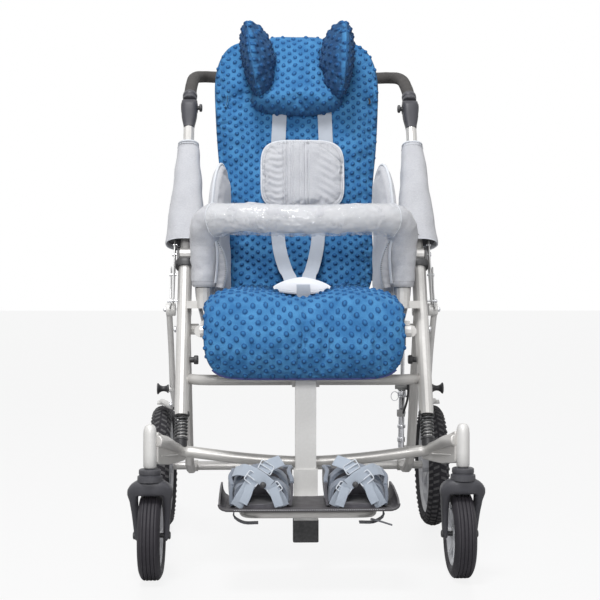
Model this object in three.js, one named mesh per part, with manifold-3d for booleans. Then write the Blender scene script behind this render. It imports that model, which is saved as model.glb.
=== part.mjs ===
// Special needs stroller: a folding tube frame on two casters and two rear wheels, with a tilting seat,
// a reclining backrest, a lifting safety bar and a telescopic legrest.
// Millimetres, +Z up. The child faces -Y, so the child's left is +X. The origin is on the floor, under the
// middle of the outer box.
import * as THREE from "three";
import { mergeVertices } from "three/addons/utils/BufferGeometryUtils.js";
import Module from "manifold-3d";

const wasm = await Module();
wasm.setup();

// Clearances and tolerances
const gap = 0.3; // between pieces that touch
const runningGap = 0.5; // between pieces that slide or turn on each other
const overrun = 2; // how far a cutting tool passes the face it cuts
const weldTolerance = 0.001; // vertices nearer than this are one vertex

// Stance
const rearWheelRadius = 151;
const rearAxleY = 280;
const wheelbase = 560;
const casterRadius = 89;
const casterTrail = 40;
const casterAxleY = rearAxleY - wheelbase;
const swivelY = casterAxleY - casterTrail;

// Widths, which all follow the width over the seat rails
const seatRailTrack = 432;
const seatSideSpace = 44; // from a seat rail to the main tube beside it
const casterSideSpace = 52; // from a main tube to the caster's stem
const wheelSideSpace = 75; // from a main tube to the rear wheel
const frameTrack = seatRailTrack + 2 * seatSideSpace;
const casterTrack = frameTrack + 2 * casterSideSpace;
const rearTrack = frameTrack + 2 * wheelSideSpace;

// Main tubes, which lean back from the front arch to the handle
const mainLean = THREE.MathUtils.degToRad(21.7);
const foldPivotY = -29;
const foldPivotZ = 666;
const mainTubeLength = 343;
const mainTubeHalfWidth = 15.5;
const mainTubeHalfDepth = 19;
const upperTubeRadius = 12.5;
const handlePivotHeight = 376; // along the tube, above the fold pivot

// Seat
const seatPivotY = -72;
const seatRailZ = 500;
const seatRailRadius = 12.5;
const seatPanThickness = 8;
const seatRailFrontY = -250;
const seatPanFrontY = -236;
const seatPanRearY = 44;
const reclinePivotY = 62;

// Legrest
const kneeY = -240;
const kneeZ = 398;
const postWidth = 43;
const postDepth = 24;

const sides = [
  ["right", -1],
  ["left", 1],
];

// Materials
function finish(color, roughness, metalness) {
  return new THREE.MeshStandardMaterial({ color, roughness, metalness });
}
const silver = finish(0xc9c8c6, 0.4, 0.6);
const chrome = finish(0xdadada, 0.15, 1);
const darkPlastic = finish(0x47484b, 0.6, 0);
const blackPlastic = finish(0x222224, 0.55, 0);
const rubber = finish(0x333336, 0.85, 0);
const wheelSilver = finish(0xbfc0c2, 0.45, 0.3);
const greyCloth = finish(0xb9babf, 0.95, 0);
const blueCloth = finish(0x2f74b0, 0.98, 0);
const webbing = finish(0xb4bac6, 0.9, 0);
const boardGrey = finish(0x2b2c30, 0.9, 0);

// Builders

function solidOf(geometry) {
  const bare = geometry.clone();
  bare.deleteAttribute("normal");
  bare.deleteAttribute("uv");
  const merged = mergeVertices(bare, weldTolerance);
  const vertProperties = merged.attributes.position.array;
  const triVerts = new Uint32Array(merged.index.array);
  return new wasm.Manifold(new wasm.Mesh({ numProp: 3, vertProperties, triVerts }));
}

function geometryOf(solid) {
  const mesh = solid.getMesh();
  const geometry = new THREE.BufferGeometry();
  geometry.setAttribute("position", new THREE.BufferAttribute(mesh.vertProperties.slice(), 3));
  geometry.setIndex(new THREE.BufferAttribute(mesh.triVerts.slice(), 1));
  geometry.computeVertexNormals();
  return geometry;
}

function join(...geometries) {
  return geometryOf(geometries.map(solidOf).reduce((whole, piece) => whole.add(piece)));
}

function cut(geometry, ...tools) {
  return geometryOf(tools.map(solidOf).reduce((whole, tool) => whole.subtract(tool), solidOf(geometry)));
}

// Closed skin over rings of points that have as many points each, capped at both ends and facing out.
function skin(rings) {
  const count = rings[0].length;
  const points = rings.flat();
  const middle = (ring) => ring.reduce((sum, p) => sum.add(p), new THREE.Vector3()).divideScalar(count);
  points.push(middle(rings[0]), middle(rings[rings.length - 1]));
  const index = [];
  for (let r = 0; r + 1 < rings.length; r++) {
    for (let k = 0; k < count; k++) {
      const a = r * count + k;
      const b = r * count + ((k + 1) % count);
      index.push(a, b, b + count, a, b + count, a + count);
    }
  }
  const last = (rings.length - 1) * count;
  for (let k = 0; k < count; k++) {
    const next = (k + 1) % count;
    index.push(points.length - 2, next, k);
    index.push(points.length - 1, last + k, last + next);
  }
  let volume = 0;
  for (let i = 0; i < index.length; i += 3) {
    volume += points[index[i]].dot(points[index[i + 1]].clone().cross(points[index[i + 2]]));
  }
  if (volume < 0) index.reverse();
  const geometry = new THREE.BufferGeometry().setFromPoints(points);
  geometry.setIndex(index);
  geometry.computeVertexNormals();
  return geometry;
}

function sectionPoints(halfX, halfY, count, power) {
  return Array.from({ length: count }, (_, k) => {
    const angle = ((k + 0.5) / count) * 2 * Math.PI;
    const bend = (value) => Math.sign(value) * Math.abs(value) ** (2 / power);
    return new THREE.Vector2(halfX * bend(Math.cos(angle)), halfY * bend(Math.sin(angle)));
  });
}

// Round or oval bar of one section along a smooth curve.
function tube(points, halfX, halfY, steps, count) {
  const path = new THREE.CatmullRomCurve3(points.map((p) => new THREE.Vector3(...p)), false, "centripetal");
  const section = new THREE.Shape(sectionPoints(halfX, halfY, count, 2));
  return new THREE.ExtrudeGeometry(section, { steps, bevelEnabled: false, extrudePath: path });
}

function roundTube(points, radius, steps = 12, count = 8) {
  return tube(points, radius, radius, steps, count);
}

// Cylinder from one point to another.
function rod(from, to, radius, count = 10) {
  const start = new THREE.Vector3(...from);
  const run = new THREE.Vector3(...to).sub(start);
  const geometry = new THREE.CylinderGeometry(radius, radius, run.length(), count);
  const way = run.clone().normalize();
  const turn = new THREE.Quaternion().setFromUnitVectors(new THREE.Vector3(0, 1, 0), way);
  geometry.applyQuaternion(turn);
  const half = start.addScaledVector(run, 0.5);
  return geometry.translate(half.x, half.y, half.z);
}

// Box between two opposite corners.
function box(low, high) {
  const size = low.map((value, k) => high[k] - value);
  const middle = low.map((value, k) => (high[k] + value) / 2);
  return new THREE.BoxGeometry(...size).translate(...middle);
}

// Ring or disc about the X axis from [radius, x] points; a flat facet faces straight down.
function wheelRing(profile, segments) {
  const flat = 1 / Math.cos(Math.PI / segments);
  const points = [...profile, profile[0]].map(([r, x]) => new THREE.Vector2(r * flat, x));
  const geometry = new THREE.LatheGeometry(points, segments, Math.PI / segments, 2 * Math.PI);
  geometry.rotateZ(-Math.PI / 2);
  return facingOut(geometry);
}

// Turned piece about the Z axis from [radius, z] points that start and end on the axis.
function turned(profile, segments = 16) {
  const points = profile.map(([r, z]) => new THREE.Vector2(r, z));
  const geometry = new THREE.LatheGeometry(points, segments);
  geometry.rotateX(Math.PI / 2);
  return facingOut(geometry);
}

function facingOut(geometry) {
  const whole = mergeVertices(geometry, weldTolerance);
  if (signedVolume(whole) >= 0) return geometry;
  const index = geometry.getIndex();
  index.array.reverse();
  geometry.computeVertexNormals();
  return geometry;
}

function signedVolume(geometry) {
  const place = geometry.getAttribute("position");
  const index = geometry.getIndex();
  const corner = (i) => new THREE.Vector3().fromBufferAttribute(place, index.getX(i));
  let volume = 0;
  for (let i = 0; i < index.count; i += 3) volume += corner(i).dot(corner(i + 1).cross(corner(i + 2)));
  return volume;
}

// Plate drawn in the YZ plane as [y, z] points and made thick along X, from x to x + thickness.
function sidePlate(outline, x, thickness) {
  const shape = new THREE.Shape(outline.map(([y, z]) => new THREE.Vector2(y, z)));
  const geometry = new THREE.ExtrudeGeometry(shape, { depth: thickness, bevelEnabled: false });
  geometry.applyMatrix4(new THREE.Matrix4().makeBasis(
    new THREE.Vector3(0, 1, 0),
    new THREE.Vector3(0, 0, 1),
    new THREE.Vector3(1, 0, 0),
  ));
  return geometry.translate(x, 0, 0);
}

// Value at u of a table of evenly spaced shares, joined smoothly.
function along(shares, u) {
  const curve = new THREE.SplineCurve(shares.map((share, k) => new THREE.Vector2(k, share)));
  return curve.getPoint(u).y;
}

// Stuffed pad along a side-view path of [y, z] points: crowned across, with round ends and drawn-in sides.
function pad({ path, halfWidth, halfThickness, widthShares, thickShares = [1, 1], ends, rings, count }) {
  const line = new THREE.SplineCurve(path.map(([y, z]) => new THREE.Vector2(y, z)));
  const loops = [];
  for (let r = 0; r <= rings; r++) {
    const u = (1 - Math.cos((Math.PI * (r + 0.4)) / (rings + 0.8))) / 2;
    const closing = (1 - Math.abs(2 * u - 1) ** ends) ** (1 / ends);
    const centre = line.getPointAt(u);
    const way = line.getTangentAt(u);
    const half = halfWidth * along(widthShares, u) * closing;
    const thick = halfThickness * along(thickShares, u) * Math.sqrt(closing);
    loops.push(sectionPoints(half, thick, count, 2.6).map((p) =>
      new THREE.Vector3(p.x, centre.x - way.y * p.y, centre.y + way.x * p.y)));
  }
  return skin(loops);
}

function addPiece(parent, name, geometry, material, place = [0, 0, 0]) {
  const mesh = new THREE.Mesh(geometry, material);
  mesh.name = name;
  mesh.position.set(...place);
  parent.add(mesh);
  return mesh;
}

const stroller = new THREE.Group();

// Wheels
const rearTyreWidth = 48;
const rearRimRadius = 118;
const axleRadius = 6;
const rearSpokes = 6;
const casterTyreWidth = 46;
const casterRimRadius = 62;
const casterAxleRadius = 5;

function tyre(radius, inner, width) {
  const depth = radius - inner;
  const half = width / 2;
  return wheelRing([
    [inner, -half * 0.72],
    [inner + depth * 0.6, -half],
    [inner + depth * 0.88, -half * 0.74],
    [radius, -half * 0.36],
    [radius, half * 0.36],
    [inner + depth * 0.88, half * 0.74],
    [inner + depth * 0.6, half],
    [inner, half * 0.72],
  ], radius > rearRimRadius ? 24 : 18);
}

function casterRim() {
  const outer = casterRimRadius - gap;
  const bore = casterAxleRadius + gap;
  const half = casterTyreWidth / 2;
  const hub = casterAxleRadius * 3;
  const side = (sign) => [
    [hub, sign * half],
    [hub, sign * half * 0.45],
    [outer * 0.78, sign * half * 0.3],
    [outer * 0.84, sign * half * 0.7],
    [outer, sign * half * 0.7],
  ];
  return wheelRing([[bore, -half], ...side(-1), ...side(1).reverse(), [bore, half]], 18);
}

function rearRim() {
  const outer = rearRimRadius - gap;
  const inner = outer * 0.86;
  const half = rearTyreWidth / 2;
  const hub = axleRadius * 3;
  const bore = axleRadius + gap;
  const band = wheelRing([
    [inner, -half * 0.5],
    [outer, -half * 0.7],
    [outer, half * 0.7],
    [inner, half * 0.5],
  ], 24);
  const middle = wheelRing([[bore, -half], [hub, -half], [hub, half], [bore, half]], 12);
  const spokes = Array.from({ length: rearSpokes }, (_, k) => {
    const spoke = box(
      [-half * 0.36, -hub * 0.6, (hub + bore) / 2],
      [half * 0.36, hub * 0.6, (inner + outer) / 2 - gap],
    );
    return spoke.rotateX((k / rearSpokes) * 2 * Math.PI);
  });
  return join(band, middle, ...spokes);
}

// Casters: fork, axle and wheel, turning about an upright stem
const stemRadius = 7;
const stemTop = 290;
const housingRadius = 13.5;
const housingBottom = 231;
const housingTop = 317;
const forkTop = 208;
const forkWidth = 86;
const forkLegThickness = 8;
const forkLegDepth = 30;
const crownDepth = 50;
const collarRadius = 21;

function casterFork() {
  const half = forkWidth / 2;
  const crownBottom = 2 * casterRadius + 6 * runningGap;
  const endZ = casterRadius - forkLegDepth / 2;
  const outline = [
    [-crownDepth / 2, forkTop],
    [crownDepth / 2, forkTop],
    [casterTrail + forkLegDepth / 2, casterRadius + forkLegDepth],
    [casterTrail + forkLegDepth / 2, endZ + forkLegDepth / 4],
    [casterTrail + forkLegDepth / 4, endZ],
    [casterTrail - forkLegDepth / 4, endZ],
    [casterTrail - forkLegDepth / 2, endZ + forkLegDepth / 4],
    [-crownDepth / 3, crownBottom - forkLegDepth / 2],
  ];
  const legs = [-half, half - forkLegThickness].map((x) => sidePlate(outline, x, forkLegThickness));
  const crown = box([-half, -crownDepth / 2, crownBottom], [half, crownDepth / 2, forkTop]);
  const collar = turned([
    [0, forkTop - overrun],
    [collarRadius * 1.2, forkTop - overrun],
    [collarRadius * 1.1, forkTop + (housingBottom - forkTop) * 0.3],
    [collarRadius, housingBottom - runningGap - gap],
    [stemRadius, housingBottom - runningGap - gap],
    [stemRadius, stemTop],
    [0, stemTop],
  ]);
  const hole = rod(
    [-half - overrun, casterTrail, casterRadius],
    [half + overrun, casterTrail, casterRadius],
    casterAxleRadius + gap,
  );
  return cut(join(crown, ...legs, collar), hole);
}

function casterAxle() {
  const half = forkWidth / 2;
  const head = forkLegThickness / 2;
  const shaft = rod([-half - head, 0, 0], [half + head, 0, 0], casterAxleRadius);
  const heads = [-1, 1].map((sign) =>
    rod([sign * (half + gap), 0, 0], [sign * (half + head), 0, 0], casterAxleRadius * 1.6));
  return join(shaft, ...heads);
}

function casterHousing() {
  const bore = stemRadius + gap;
  const dome = housingRadius * 0.7;
  return turned([
    [0, housingTop],
    [housingRadius * 0.6, housingTop - dome * 0.2],
    [housingRadius, housingTop - dome],
    [housingRadius, housingBottom],
    [bore, housingBottom],
    [bore, stemTop + gap],
    [0, stemTop + gap],
  ], 14);
}

for (const [side, sign] of sides) {
  const caster = new THREE.Group();
  caster.position.set((sign * casterTrack) / 2, swivelY, 0);
  stroller.add(caster);
  addPiece(caster, `caster_fork_${side}`, casterFork(), darkPlastic);
  const wheelPlace = [0, casterTrail, casterRadius];
  addPiece(caster, `caster_axle_${side}`, casterAxle(), chrome, wheelPlace);
  addPiece(caster, `caster_rim_${side}`, casterRim(), wheelSilver, wheelPlace);
  const casterTyre = tyre(casterRadius, casterRimRadius, casterTyreWidth);
  addPiece(caster, `caster_tyre_${side}`, casterTyre, rubber, wheelPlace);
  addPiece(caster, `caster_housing_${side}`, casterHousing(), silver);
  const wheel = [(sign * rearTrack) / 2, rearAxleY, rearWheelRadius];
  const rearTyre = tyre(rearWheelRadius, rearRimRadius, rearTyreWidth);
  addPiece(stroller, `rear_tyre_${side}`, rearTyre, rubber, wheel);
  addPiece(stroller, `rear_rim_${side}`, rearRim(), wheelSilver, wheel);
}

// Front arch, bowed back and down in the middle, with a gusset under each end
const archRadius = 12;
const archShoulderInset = 40;
const archBow = 4.6; // how far its middle lies behind the shocks' feet
const archDrop = 25.8; // and below them
const archShoulderX = frameTrack / 2 - archShoulderInset;
const archEndZ = 284;
const gussetThickness = 6;

// The point of a main tube's axis at a height along it from the fold pivot, as [y, z].
function onMainAxis(height) {
  return [foldPivotY + height * Math.sin(mainLean), foldPivotZ + height * Math.cos(mainLean)];
}
const foldKnuckleRadius = 16;
const capHeight = 14;
const springLength = 50;
const shockSleeveLength = 25;
const springTop = -foldKnuckleRadius - capHeight - mainTubeLength;
const shockFootHeight = springTop - springLength - shockSleeveLength;
const [shockFootY, shockFootZ] = onMainAxis(shockFootHeight);
const archMiddleY = shockFootY + archBow;
const archMiddleZ = shockFootZ - archDrop;

function archTube(radius) {
  const half = casterTrack / 2 - housingRadius - gap;
  const ends = (sign) => [
    [sign * half, swivelY, archEndZ],
    [sign * (half - archRadius), swivelY + 2 * archRadius, archEndZ - archRadius / 4],
    [(sign * frameTrack) / 2, shockFootY, shockFootZ],
    [sign * archShoulderX, archMiddleY, archMiddleZ + archRadius * 1.6],
    [(sign * archShoulderX) / 2, archMiddleY, archMiddleZ + archRadius / 2],
  ];
  return roundTube([...ends(-1), [0, archMiddleY, archMiddleZ], ...ends(1).reverse()], radius, 20, 8);
}

function archHousingCut(sign) {
  const x = (sign * casterTrack) / 2;
  const low = [x, swivelY, housingBottom - overrun];
  const high = [x, swivelY, housingTop + overrun];
  return rod(low, high, housingRadius + gap, 14);
}

function gusset(sign) {
  const low = housingBottom + archRadius / 2;
  const outline = [
    [swivelY, low],
    [swivelY, archEndZ],
    [shockFootY, shockFootZ],
    [shockFootY - archRadius, shockFootZ - archRadius * 1.5],
  ];
  const plate = sidePlate(outline, -gussetThickness / 2, gussetThickness);
  const half = casterTrack / 2;
  const reach = (half - frameTrack / 2) / (shockFootY - swivelY);
  plate.applyMatrix4(new THREE.Matrix4().set(
    1, -sign * reach, 0, 0,
    0, 1, 0, 0,
    0, 0, 1, 0,
    0, 0, 0, 1,
  ));
  return plate.translate(sign * (half + reach * swivelY), 0, 0);
}

function frontArch() {
  const whole = join(archTube(archRadius), gusset(-1), gusset(1));
  return cut(whole, archHousingCut(-1), archHousingCut(1));
}
addPiece(stroller, "front_arch", frontArch(), silver);

// Main tubes and shocks. In these groups Z runs up along the tube from the fold pivot.
const foldPinRadius = 6;
const cheekThickness = 5;
const lugLength = 34;
const rearPivotHeight = -118;
const pinRadius = 5;
const shockRadius = 13;
const springRadius = 12;
const springWire = 2.4;
const springTurns = 7;
const shockGuideRadius = 6;

// Sockets of the safety bar on the main tubes
const barTrack = seatRailTrack;
const barLegY = -112;
const barTubeRadius = 12.5;
const socketRadius = 16;
const socketBottom = 546;
const socketTop = 590;
const socketFloor = 3;

function mainTube(sign) {
  const bottom = -foldKnuckleRadius - capHeight - mainTubeLength;
  const top = -foldKnuckleRadius - capHeight - gap;
  const shape = new THREE.Shape(sectionPoints(mainTubeHalfWidth, mainTubeHalfDepth, 16, 2.2));
  const body = new THREE.ExtrudeGeometry(shape, { depth: top - bottom, bevelEnabled: false });
  body.translate(0, 0, bottom);
  // Lug behind the tube for the rear leg, and boss inside it for the seat.
  const lug = box(
    [-mainTubeHalfWidth / 2, mainTubeHalfDepth / 2, rearPivotHeight - lugLength / 2],
    [mainTubeHalfWidth / 2, mainTubeHalfDepth + lugLength, rearPivotHeight + lugLength / 2],
  );
  const rearHole = rod(
    [-mainTubeHalfWidth, mainTubeHalfDepth + lugLength / 2, rearPivotHeight],
    [mainTubeHalfWidth, mainTubeHalfDepth + lugLength / 2, rearPivotHeight],
    pinRadius + gap,
  );
  const seatHeight = (seatRailZ - foldPivotZ) / Math.cos(mainLean);
  const inner = -sign * mainTubeHalfWidth;
  const bossEnd = -sign * (frameTrack / 2 - seatRailTrack / 2 - seatRailRadius - runningGap);
  const pinEnd = -sign * (frameTrack / 2 - seatRailTrack / 2 + seatRailRadius / 2);
  const offset = seatPivotY - onMainAxis(seatHeight)[0];
  const seatY = offset * Math.cos(mainLean);
  const seatZ = seatHeight + offset * Math.sin(mainLean);
  const boss = rod([inner / 2, seatY, seatZ], [bossEnd, seatY, seatZ], seatRailRadius);
  const pin = rod([inner / 2, seatY, seatZ], [pinEnd, seatY, seatZ], pinRadius);
  return cut(join(body, lug, boss, pin), rearHole);
}

// Upright socket inside a main tube for a leg of the safety bar, with the bracket that holds it.
function barSocket(sign) {
  const x = sign * barTrack / 2;
  const tubeFace = sign * (frameTrack / 2 - mainTubeHalfWidth / 2);
  const [tubeY] = onMainAxis((socketBottom - foldPivotZ) / Math.cos(mainLean));
  const barrel = rod([x, barLegY, socketBottom], [x, barLegY, socketTop], socketRadius, 12);
  const bracket = box(
    [Math.min(x, tubeFace), barLegY - socketRadius / 2, socketBottom],
    [Math.max(x, tubeFace), tubeY + mainTubeHalfDepth / 2, socketBottom + socketRadius],
  );
  const bore = rod([x, barLegY, socketBottom + socketFloor], [x, barLegY, socketTop + overrun],
    barTubeRadius + 3 * gap, 12);
  return [join(barrel, bracket), bore];
}

// Cap on the main tube with two cheeks and the pin that the upper tube folds on.
function foldHinge() {
  const inner = upperTubeRadius + runningGap;
  const outer = inner + cheekThickness;
  const capLow = -foldKnuckleRadius - capHeight;
  const capHigh = -foldKnuckleRadius - 2 * runningGap;
  const shape = new THREE.Shape(sectionPoints(outer, mainTubeHalfDepth + overrun, 16, 2.6));
  const cap = new THREE.ExtrudeGeometry(shape, { depth: capHigh - capLow, bevelEnabled: false });
  cap.translate(0, 0, capLow);
  const cheeks = [-outer, inner].map((x) => join(
    box([x, -foldKnuckleRadius, capLow], [x + cheekThickness, foldKnuckleRadius, 0]),
    rod([x, 0, 0], [x + cheekThickness, 0, 0], foldKnuckleRadius, 14),
  ));
  const pin = rod([-outer, 0, 0], [outer, 0, 0], foldPinRadius);
  return join(cap, ...cheeks, pin);
}

// The sleeve straddles the arch.
function shockRod() {
  const foot = shockFootHeight + archRadius / 2;
  const sleeveTop = springTop - springLength - gap;
  const sleeve = rod([0, 0, foot], [0, 0, sleeveTop], shockRadius, 12);
  const guideTop = springTop - springLength / 3;
  const guide = rod([0, 0, sleeveTop - overrun], [0, 0, guideTop], shockGuideRadius, 8);
  return join(sleeve, guide);
}

// One unbroken wire from the tube's end to the shock's sleeve.
function spring() {
  const steps = springTurns * 8;
  const low = springTop - springLength + springWire;
  const high = springTop - springWire;
  const pitch = (high - low) / springTurns;
  const leastGap = pitch - 2 * springWire;
  console.log("spring: least gap between turns", leastGap.toFixed(2), "mm");
  const rings = Array.from({ length: steps + 1 }, (_, s) => {
    const angle = (s / 8) * 2 * Math.PI;
    const out = new THREE.Vector3(Math.cos(angle), Math.sin(angle), 0);
    const height = low + (high - low) * (s / steps);
    return Array.from({ length: 5 }, (_, k) => {
      const turn = (k / 5) * 2 * Math.PI;
      const point = out.clone().multiplyScalar(springRadius + springWire * Math.cos(turn));
      return point.setZ(height + springWire * Math.sin(turn) * 0.9);
    });
  });
  return skin(rings);
}

for (const [side, sign] of sides) {
  const axis = new THREE.Group();
  axis.position.set((sign * frameTrack) / 2, foldPivotY, foldPivotZ);
  axis.rotation.x = -mainLean;
  stroller.add(axis);
  addPiece(axis, `fold_hinge_${side}`, foldHinge(), blackPlastic);
  addPiece(axis, `shock_spring_${side}`, spring(), chrome);
  // The tube with its upright socket and the sleeve on the arch are made in the frame of the whole.
  axis.updateMatrix();
  const [socket, bore] = barSocket(sign);
  const tubeGeometry = mainTube(sign).applyMatrix4(axis.matrix);
  addPiece(stroller, `main_tube_${side}`, cut(join(tubeGeometry, socket), bore), silver);
  const rodGeometry = shockRod().applyMatrix4(axis.matrix);
  addPiece(stroller, `shock_rod_${side}`, cut(rodGeometry, archTube(archRadius + gap)), blackPlastic);
}

// Cross tube under the seat, bowed forwards between the main tubes
const crossHeight = -292;
const crossBow = 32;
const crossRadius = 11;

function crossTube() {
  const [y, z] = onMainAxis(crossHeight);
  const half = frameTrack / 2 - mainTubeHalfWidth - gap;
  const ends = (sign) => [
    [sign * (half + crossRadius), y + crossBow / 4, z],
    [sign * (half - crossRadius), y - crossBow / 4, z],
    [sign * (half - 3 * crossRadius), y - crossBow, z],
  ];
  const bow = roundTube([...ends(-1), [0, y - crossBow, z], ...ends(1).reverse()], crossRadius, 14, 8);
  const trims = [-1, 1].map((sign) => box(
    [sign > 0 ? half : -half - 4 * crossRadius, y - 4 * crossRadius, z - 4 * crossRadius],
    [sign > 0 ? half + 4 * crossRadius : -half, y + 4 * crossRadius, z + 4 * crossRadius],
  ));
  return cut(bow, ...trims);
}
addPiece(stroller, "cross_tube", crossTube(), silver);

// Rear legs, rear axle and brake arms
const rearPivot = (() => {
  const [y, z] = onMainAxis(rearPivotHeight);
  const out = mainTubeHalfDepth + lugLength / 2;
  return [y + out * Math.cos(mainLean), z - out * Math.sin(mainLean)];
})();
const rearLegRadius = 11;
const legX = frameTrack / 2;
const knuckleRadius = 14;
const forkHalfWidth = mainTubeHalfWidth / 2 + runningGap + cheekThickness; // of the leg's fork on the lug
const axleTubeRadius = 11;
const legRouteShares = [
  [0, 0],
  [0.15, 0.28],
  [0.28, 0.55],
  [0.39, 0.78],
  [0.5, 0.925],
  [0.7, 0.99],
  [1, 1],
];

// A share of the way from the rear pivot back and down to the rear axle, as [x, y, z].
function onRearLeg([back, down], x) {
  const [y, z] = rearPivot;
  return [x, y + (rearAxleY - y) * back, z - (z - rearWheelRadius) * down];
}

function rearLeg(sign) {
  const x = sign * legX;
  const [y, z] = rearPivot;
  const half = forkHalfWidth - cheekThickness;
  const outer = forkHalfWidth;
  const leg = roundTube(legRouteShares.map((share) => onRearLeg(share, x)), rearLegRadius, 10, 8);
  const slot = box([x - half, y - 2 * knuckleRadius, z - 2 * knuckleRadius],
    [x + half, y + 2 * knuckleRadius, z + 2 * knuckleRadius]);
  const head = rod([x - outer, y, z], [x + outer, y, z], knuckleRadius, 14);
  const pin = rod([x - outer, y, z], [x + outer, y, z], pinRadius);
  const foot = rod([x - rearLegRadius, rearAxleY, rearWheelRadius],
    [x + rearLegRadius, rearAxleY, rearWheelRadius], knuckleRadius, 14);
  const bore = rod([x - 2 * rearLegRadius, rearAxleY, rearWheelRadius],
    [x + 2 * rearLegRadius, rearAxleY, rearWheelRadius], axleRadius + gap);
  const parts = [cut(join(cut(join(leg, head), slot), pin, foot), bore)];
  if (sign > 0) parts.push(strutBoss());
  return parts.length > 1 ? join(...parts) : parts[0];
}

function rearAxle() {
  const inner = legX - rearLegRadius - runningGap;
  const end = rearTrack / 2 + rearTyreWidth / 2 + axleRadius;
  const middle = rod([-inner, 0, 0], [inner, 0, 0], axleTubeRadius, 12);
  const shaft = rod([-end, 0, 0], [end, 0, 0], axleRadius, 10);
  const hub = rearTrack / 2 - rearTyreWidth / 2 - runningGap;
  const spacers = [-1, 1].map((sign) => rod(
    [sign * (legX + rearLegRadius + gap), 0, 0],
    [sign * hub, 0, 0],
    axleRadius * 1.6,
  ));
  return join(middle, shaft, ...spacers);
}
addPiece(stroller, "rear_axle", rearAxle(), silver, [0, rearAxleY, rearWheelRadius]);

// Tilt strut beside the left seat rail: a rod that telescopes into a sleeve on the rear leg
const strutSpace = 20.5; // from a seat rail to the strut
const strutX = seatRailTrack / 2 + strutSpace;
const strutSleeveRadius = 7;
const strutRodRadius = 4.5;
const strutFootShare = [0.42, 0.84];
const strutHeadBack = 124; // behind the seat pivot
const strutHeadDrop = 10; // below the rails
const strutHead = [seatPivotY + strutHeadBack, seatRailZ - strutHeadDrop];
const strutSleeveLength = 140;
const strutRodOverlap = 40;
const strutEyeRadius = 9;
const strutEyeWidth = 8;

function strutFoot() {
  const [, y, z] = onRearLeg(strutFootShare, 0);
  return [y, z];
}

function strutBoss() {
  const [y, z] = strutFoot();
  const inner = strutX + strutSleeveRadius + runningGap;
  return join(
    rod([inner, y, z], [legX, y, z], strutEyeRadius),
    rod([strutX, y, z], [legX, y, z], strutRodRadius),
  );
}

// Strut pieces are built upright from the foot and then leaned towards the head.
function strutLean() {
  const [y, z] = strutFoot();
  return Math.atan2(strutHead[0] - y, strutHead[1] - z);
}

function strutLength() {
  const [y, z] = strutFoot();
  return Math.hypot(strutHead[0] - y, strutHead[1] - z);
}

function strutSleeve() {
  const half = strutEyeWidth / 2;
  const barrel = rod([0, 0, 0], [0, 0, strutSleeveLength], strutSleeveRadius, 10);
  const ringZ = strutSleeveLength * 0.6;
  const ring = rod([0, 0, ringZ], [0, 0, ringZ + strutSleeveRadius], strutSleeveRadius * 1.3, 10);
  const eye = rod([-half, 0, 0], [half, 0, 0], strutEyeRadius, 10);
  const bore = rod([0, 0, strutEyeRadius + strutRodRadius * 2], [0, 0, strutSleeveLength + overrun],
    strutRodRadius + runningGap + gap, 8);
  const through = strutSleeveRadius + overrun;
  const eyeHole = rod([-through, 0, 0], [through, 0, 0], strutRodRadius + runningGap + gap, 8);
  return cut(join(barrel, eye, ring), bore, eyeHole);
}

function strutRod() {
  const half = strutEyeWidth / 2;
  const top = strutLength();
  const bar = rod([0, 0, strutSleeveLength - strutRodOverlap], [0, 0, top], strutRodRadius, 8);
  const eye = rod([-half, 0, top], [half, 0, top], strutEyeRadius, 10);
  return join(bar, eye);
}

const strut = new THREE.Group();
strut.position.set(strutX, ...strutFoot());
strut.rotation.x = -strutLean();
stroller.add(strut);
addPiece(strut, "strut_sleeve", strutSleeve(), chrome);
addPiece(strut, "strut_rod", strutRod(), chrome);

// Brake arms outside the legs, each with a shoe over the tyre and a pull knob
const brakeArmRadius = 7;
const brakeArmSpace = 36;
const brakeArmX = legX + brakeArmSpace;
const shoeGap = 6;
const shoeLength = 34;
const shoeHeight = 14;
const shoeAngle = THREE.MathUtils.degToRad(16);
const knobShare = [0.34, 0.47];
const knobRadius = 13;
const knobReach = 36;
const knobStemRadius = 4;
const brakeRouteShares = [
  [0.2, 0.24],
  [0.34, 0.47],
  [0.52, 0.585],
];

function brakeArm(sign) {
  const x = sign * brakeArmX;
  const wheelX = (sign * rearTrack) / 2;
  const [y, z] = rearPivot;
  const reach = rearWheelRadius + shoeGap + shoeHeight;
  const shoeY = rearAxleY - reach * Math.sin(shoeAngle);
  const shoeZ = rearWheelRadius + reach * Math.cos(shoeAngle);
  const bends = brakeRouteShares.map((share) => onRearLeg(share, x));
  const route = [[x, y, z], ...bends, [wheelX, shoeY, shoeZ]];
  const arm = roundTube(route, brakeArmRadius, 8, 6);
  const inner = sign * (legX + forkHalfWidth + gap);
  const head = rod([inner, y, z], [x + sign * brakeArmRadius, y, z], knuckleRadius);
  const shoe = box([-shoeLength / 2, -shoeLength / 2, -shoeHeight], [shoeLength / 2, shoeLength / 2, 0]);
  shoe.rotateX(shoeAngle).translate(wheelX, shoeY, shoeZ);
  const [, knobY, knobZ] = onRearLeg(knobShare, x);
  const bossEnd = x + sign * (brakeArmRadius + 3 * runningGap);
  const boss = rod([x, knobY, knobZ], [bossEnd, knobY, knobZ], knobStemRadius * 2);
  const hole = rod([x - sign * 2 * brakeArmRadius, knobY, knobZ], [bossEnd + sign * overrun, knobY, knobZ],
    knobStemRadius + gap);
  return cut(join(arm, head, shoe, boss), hole);
}

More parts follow.
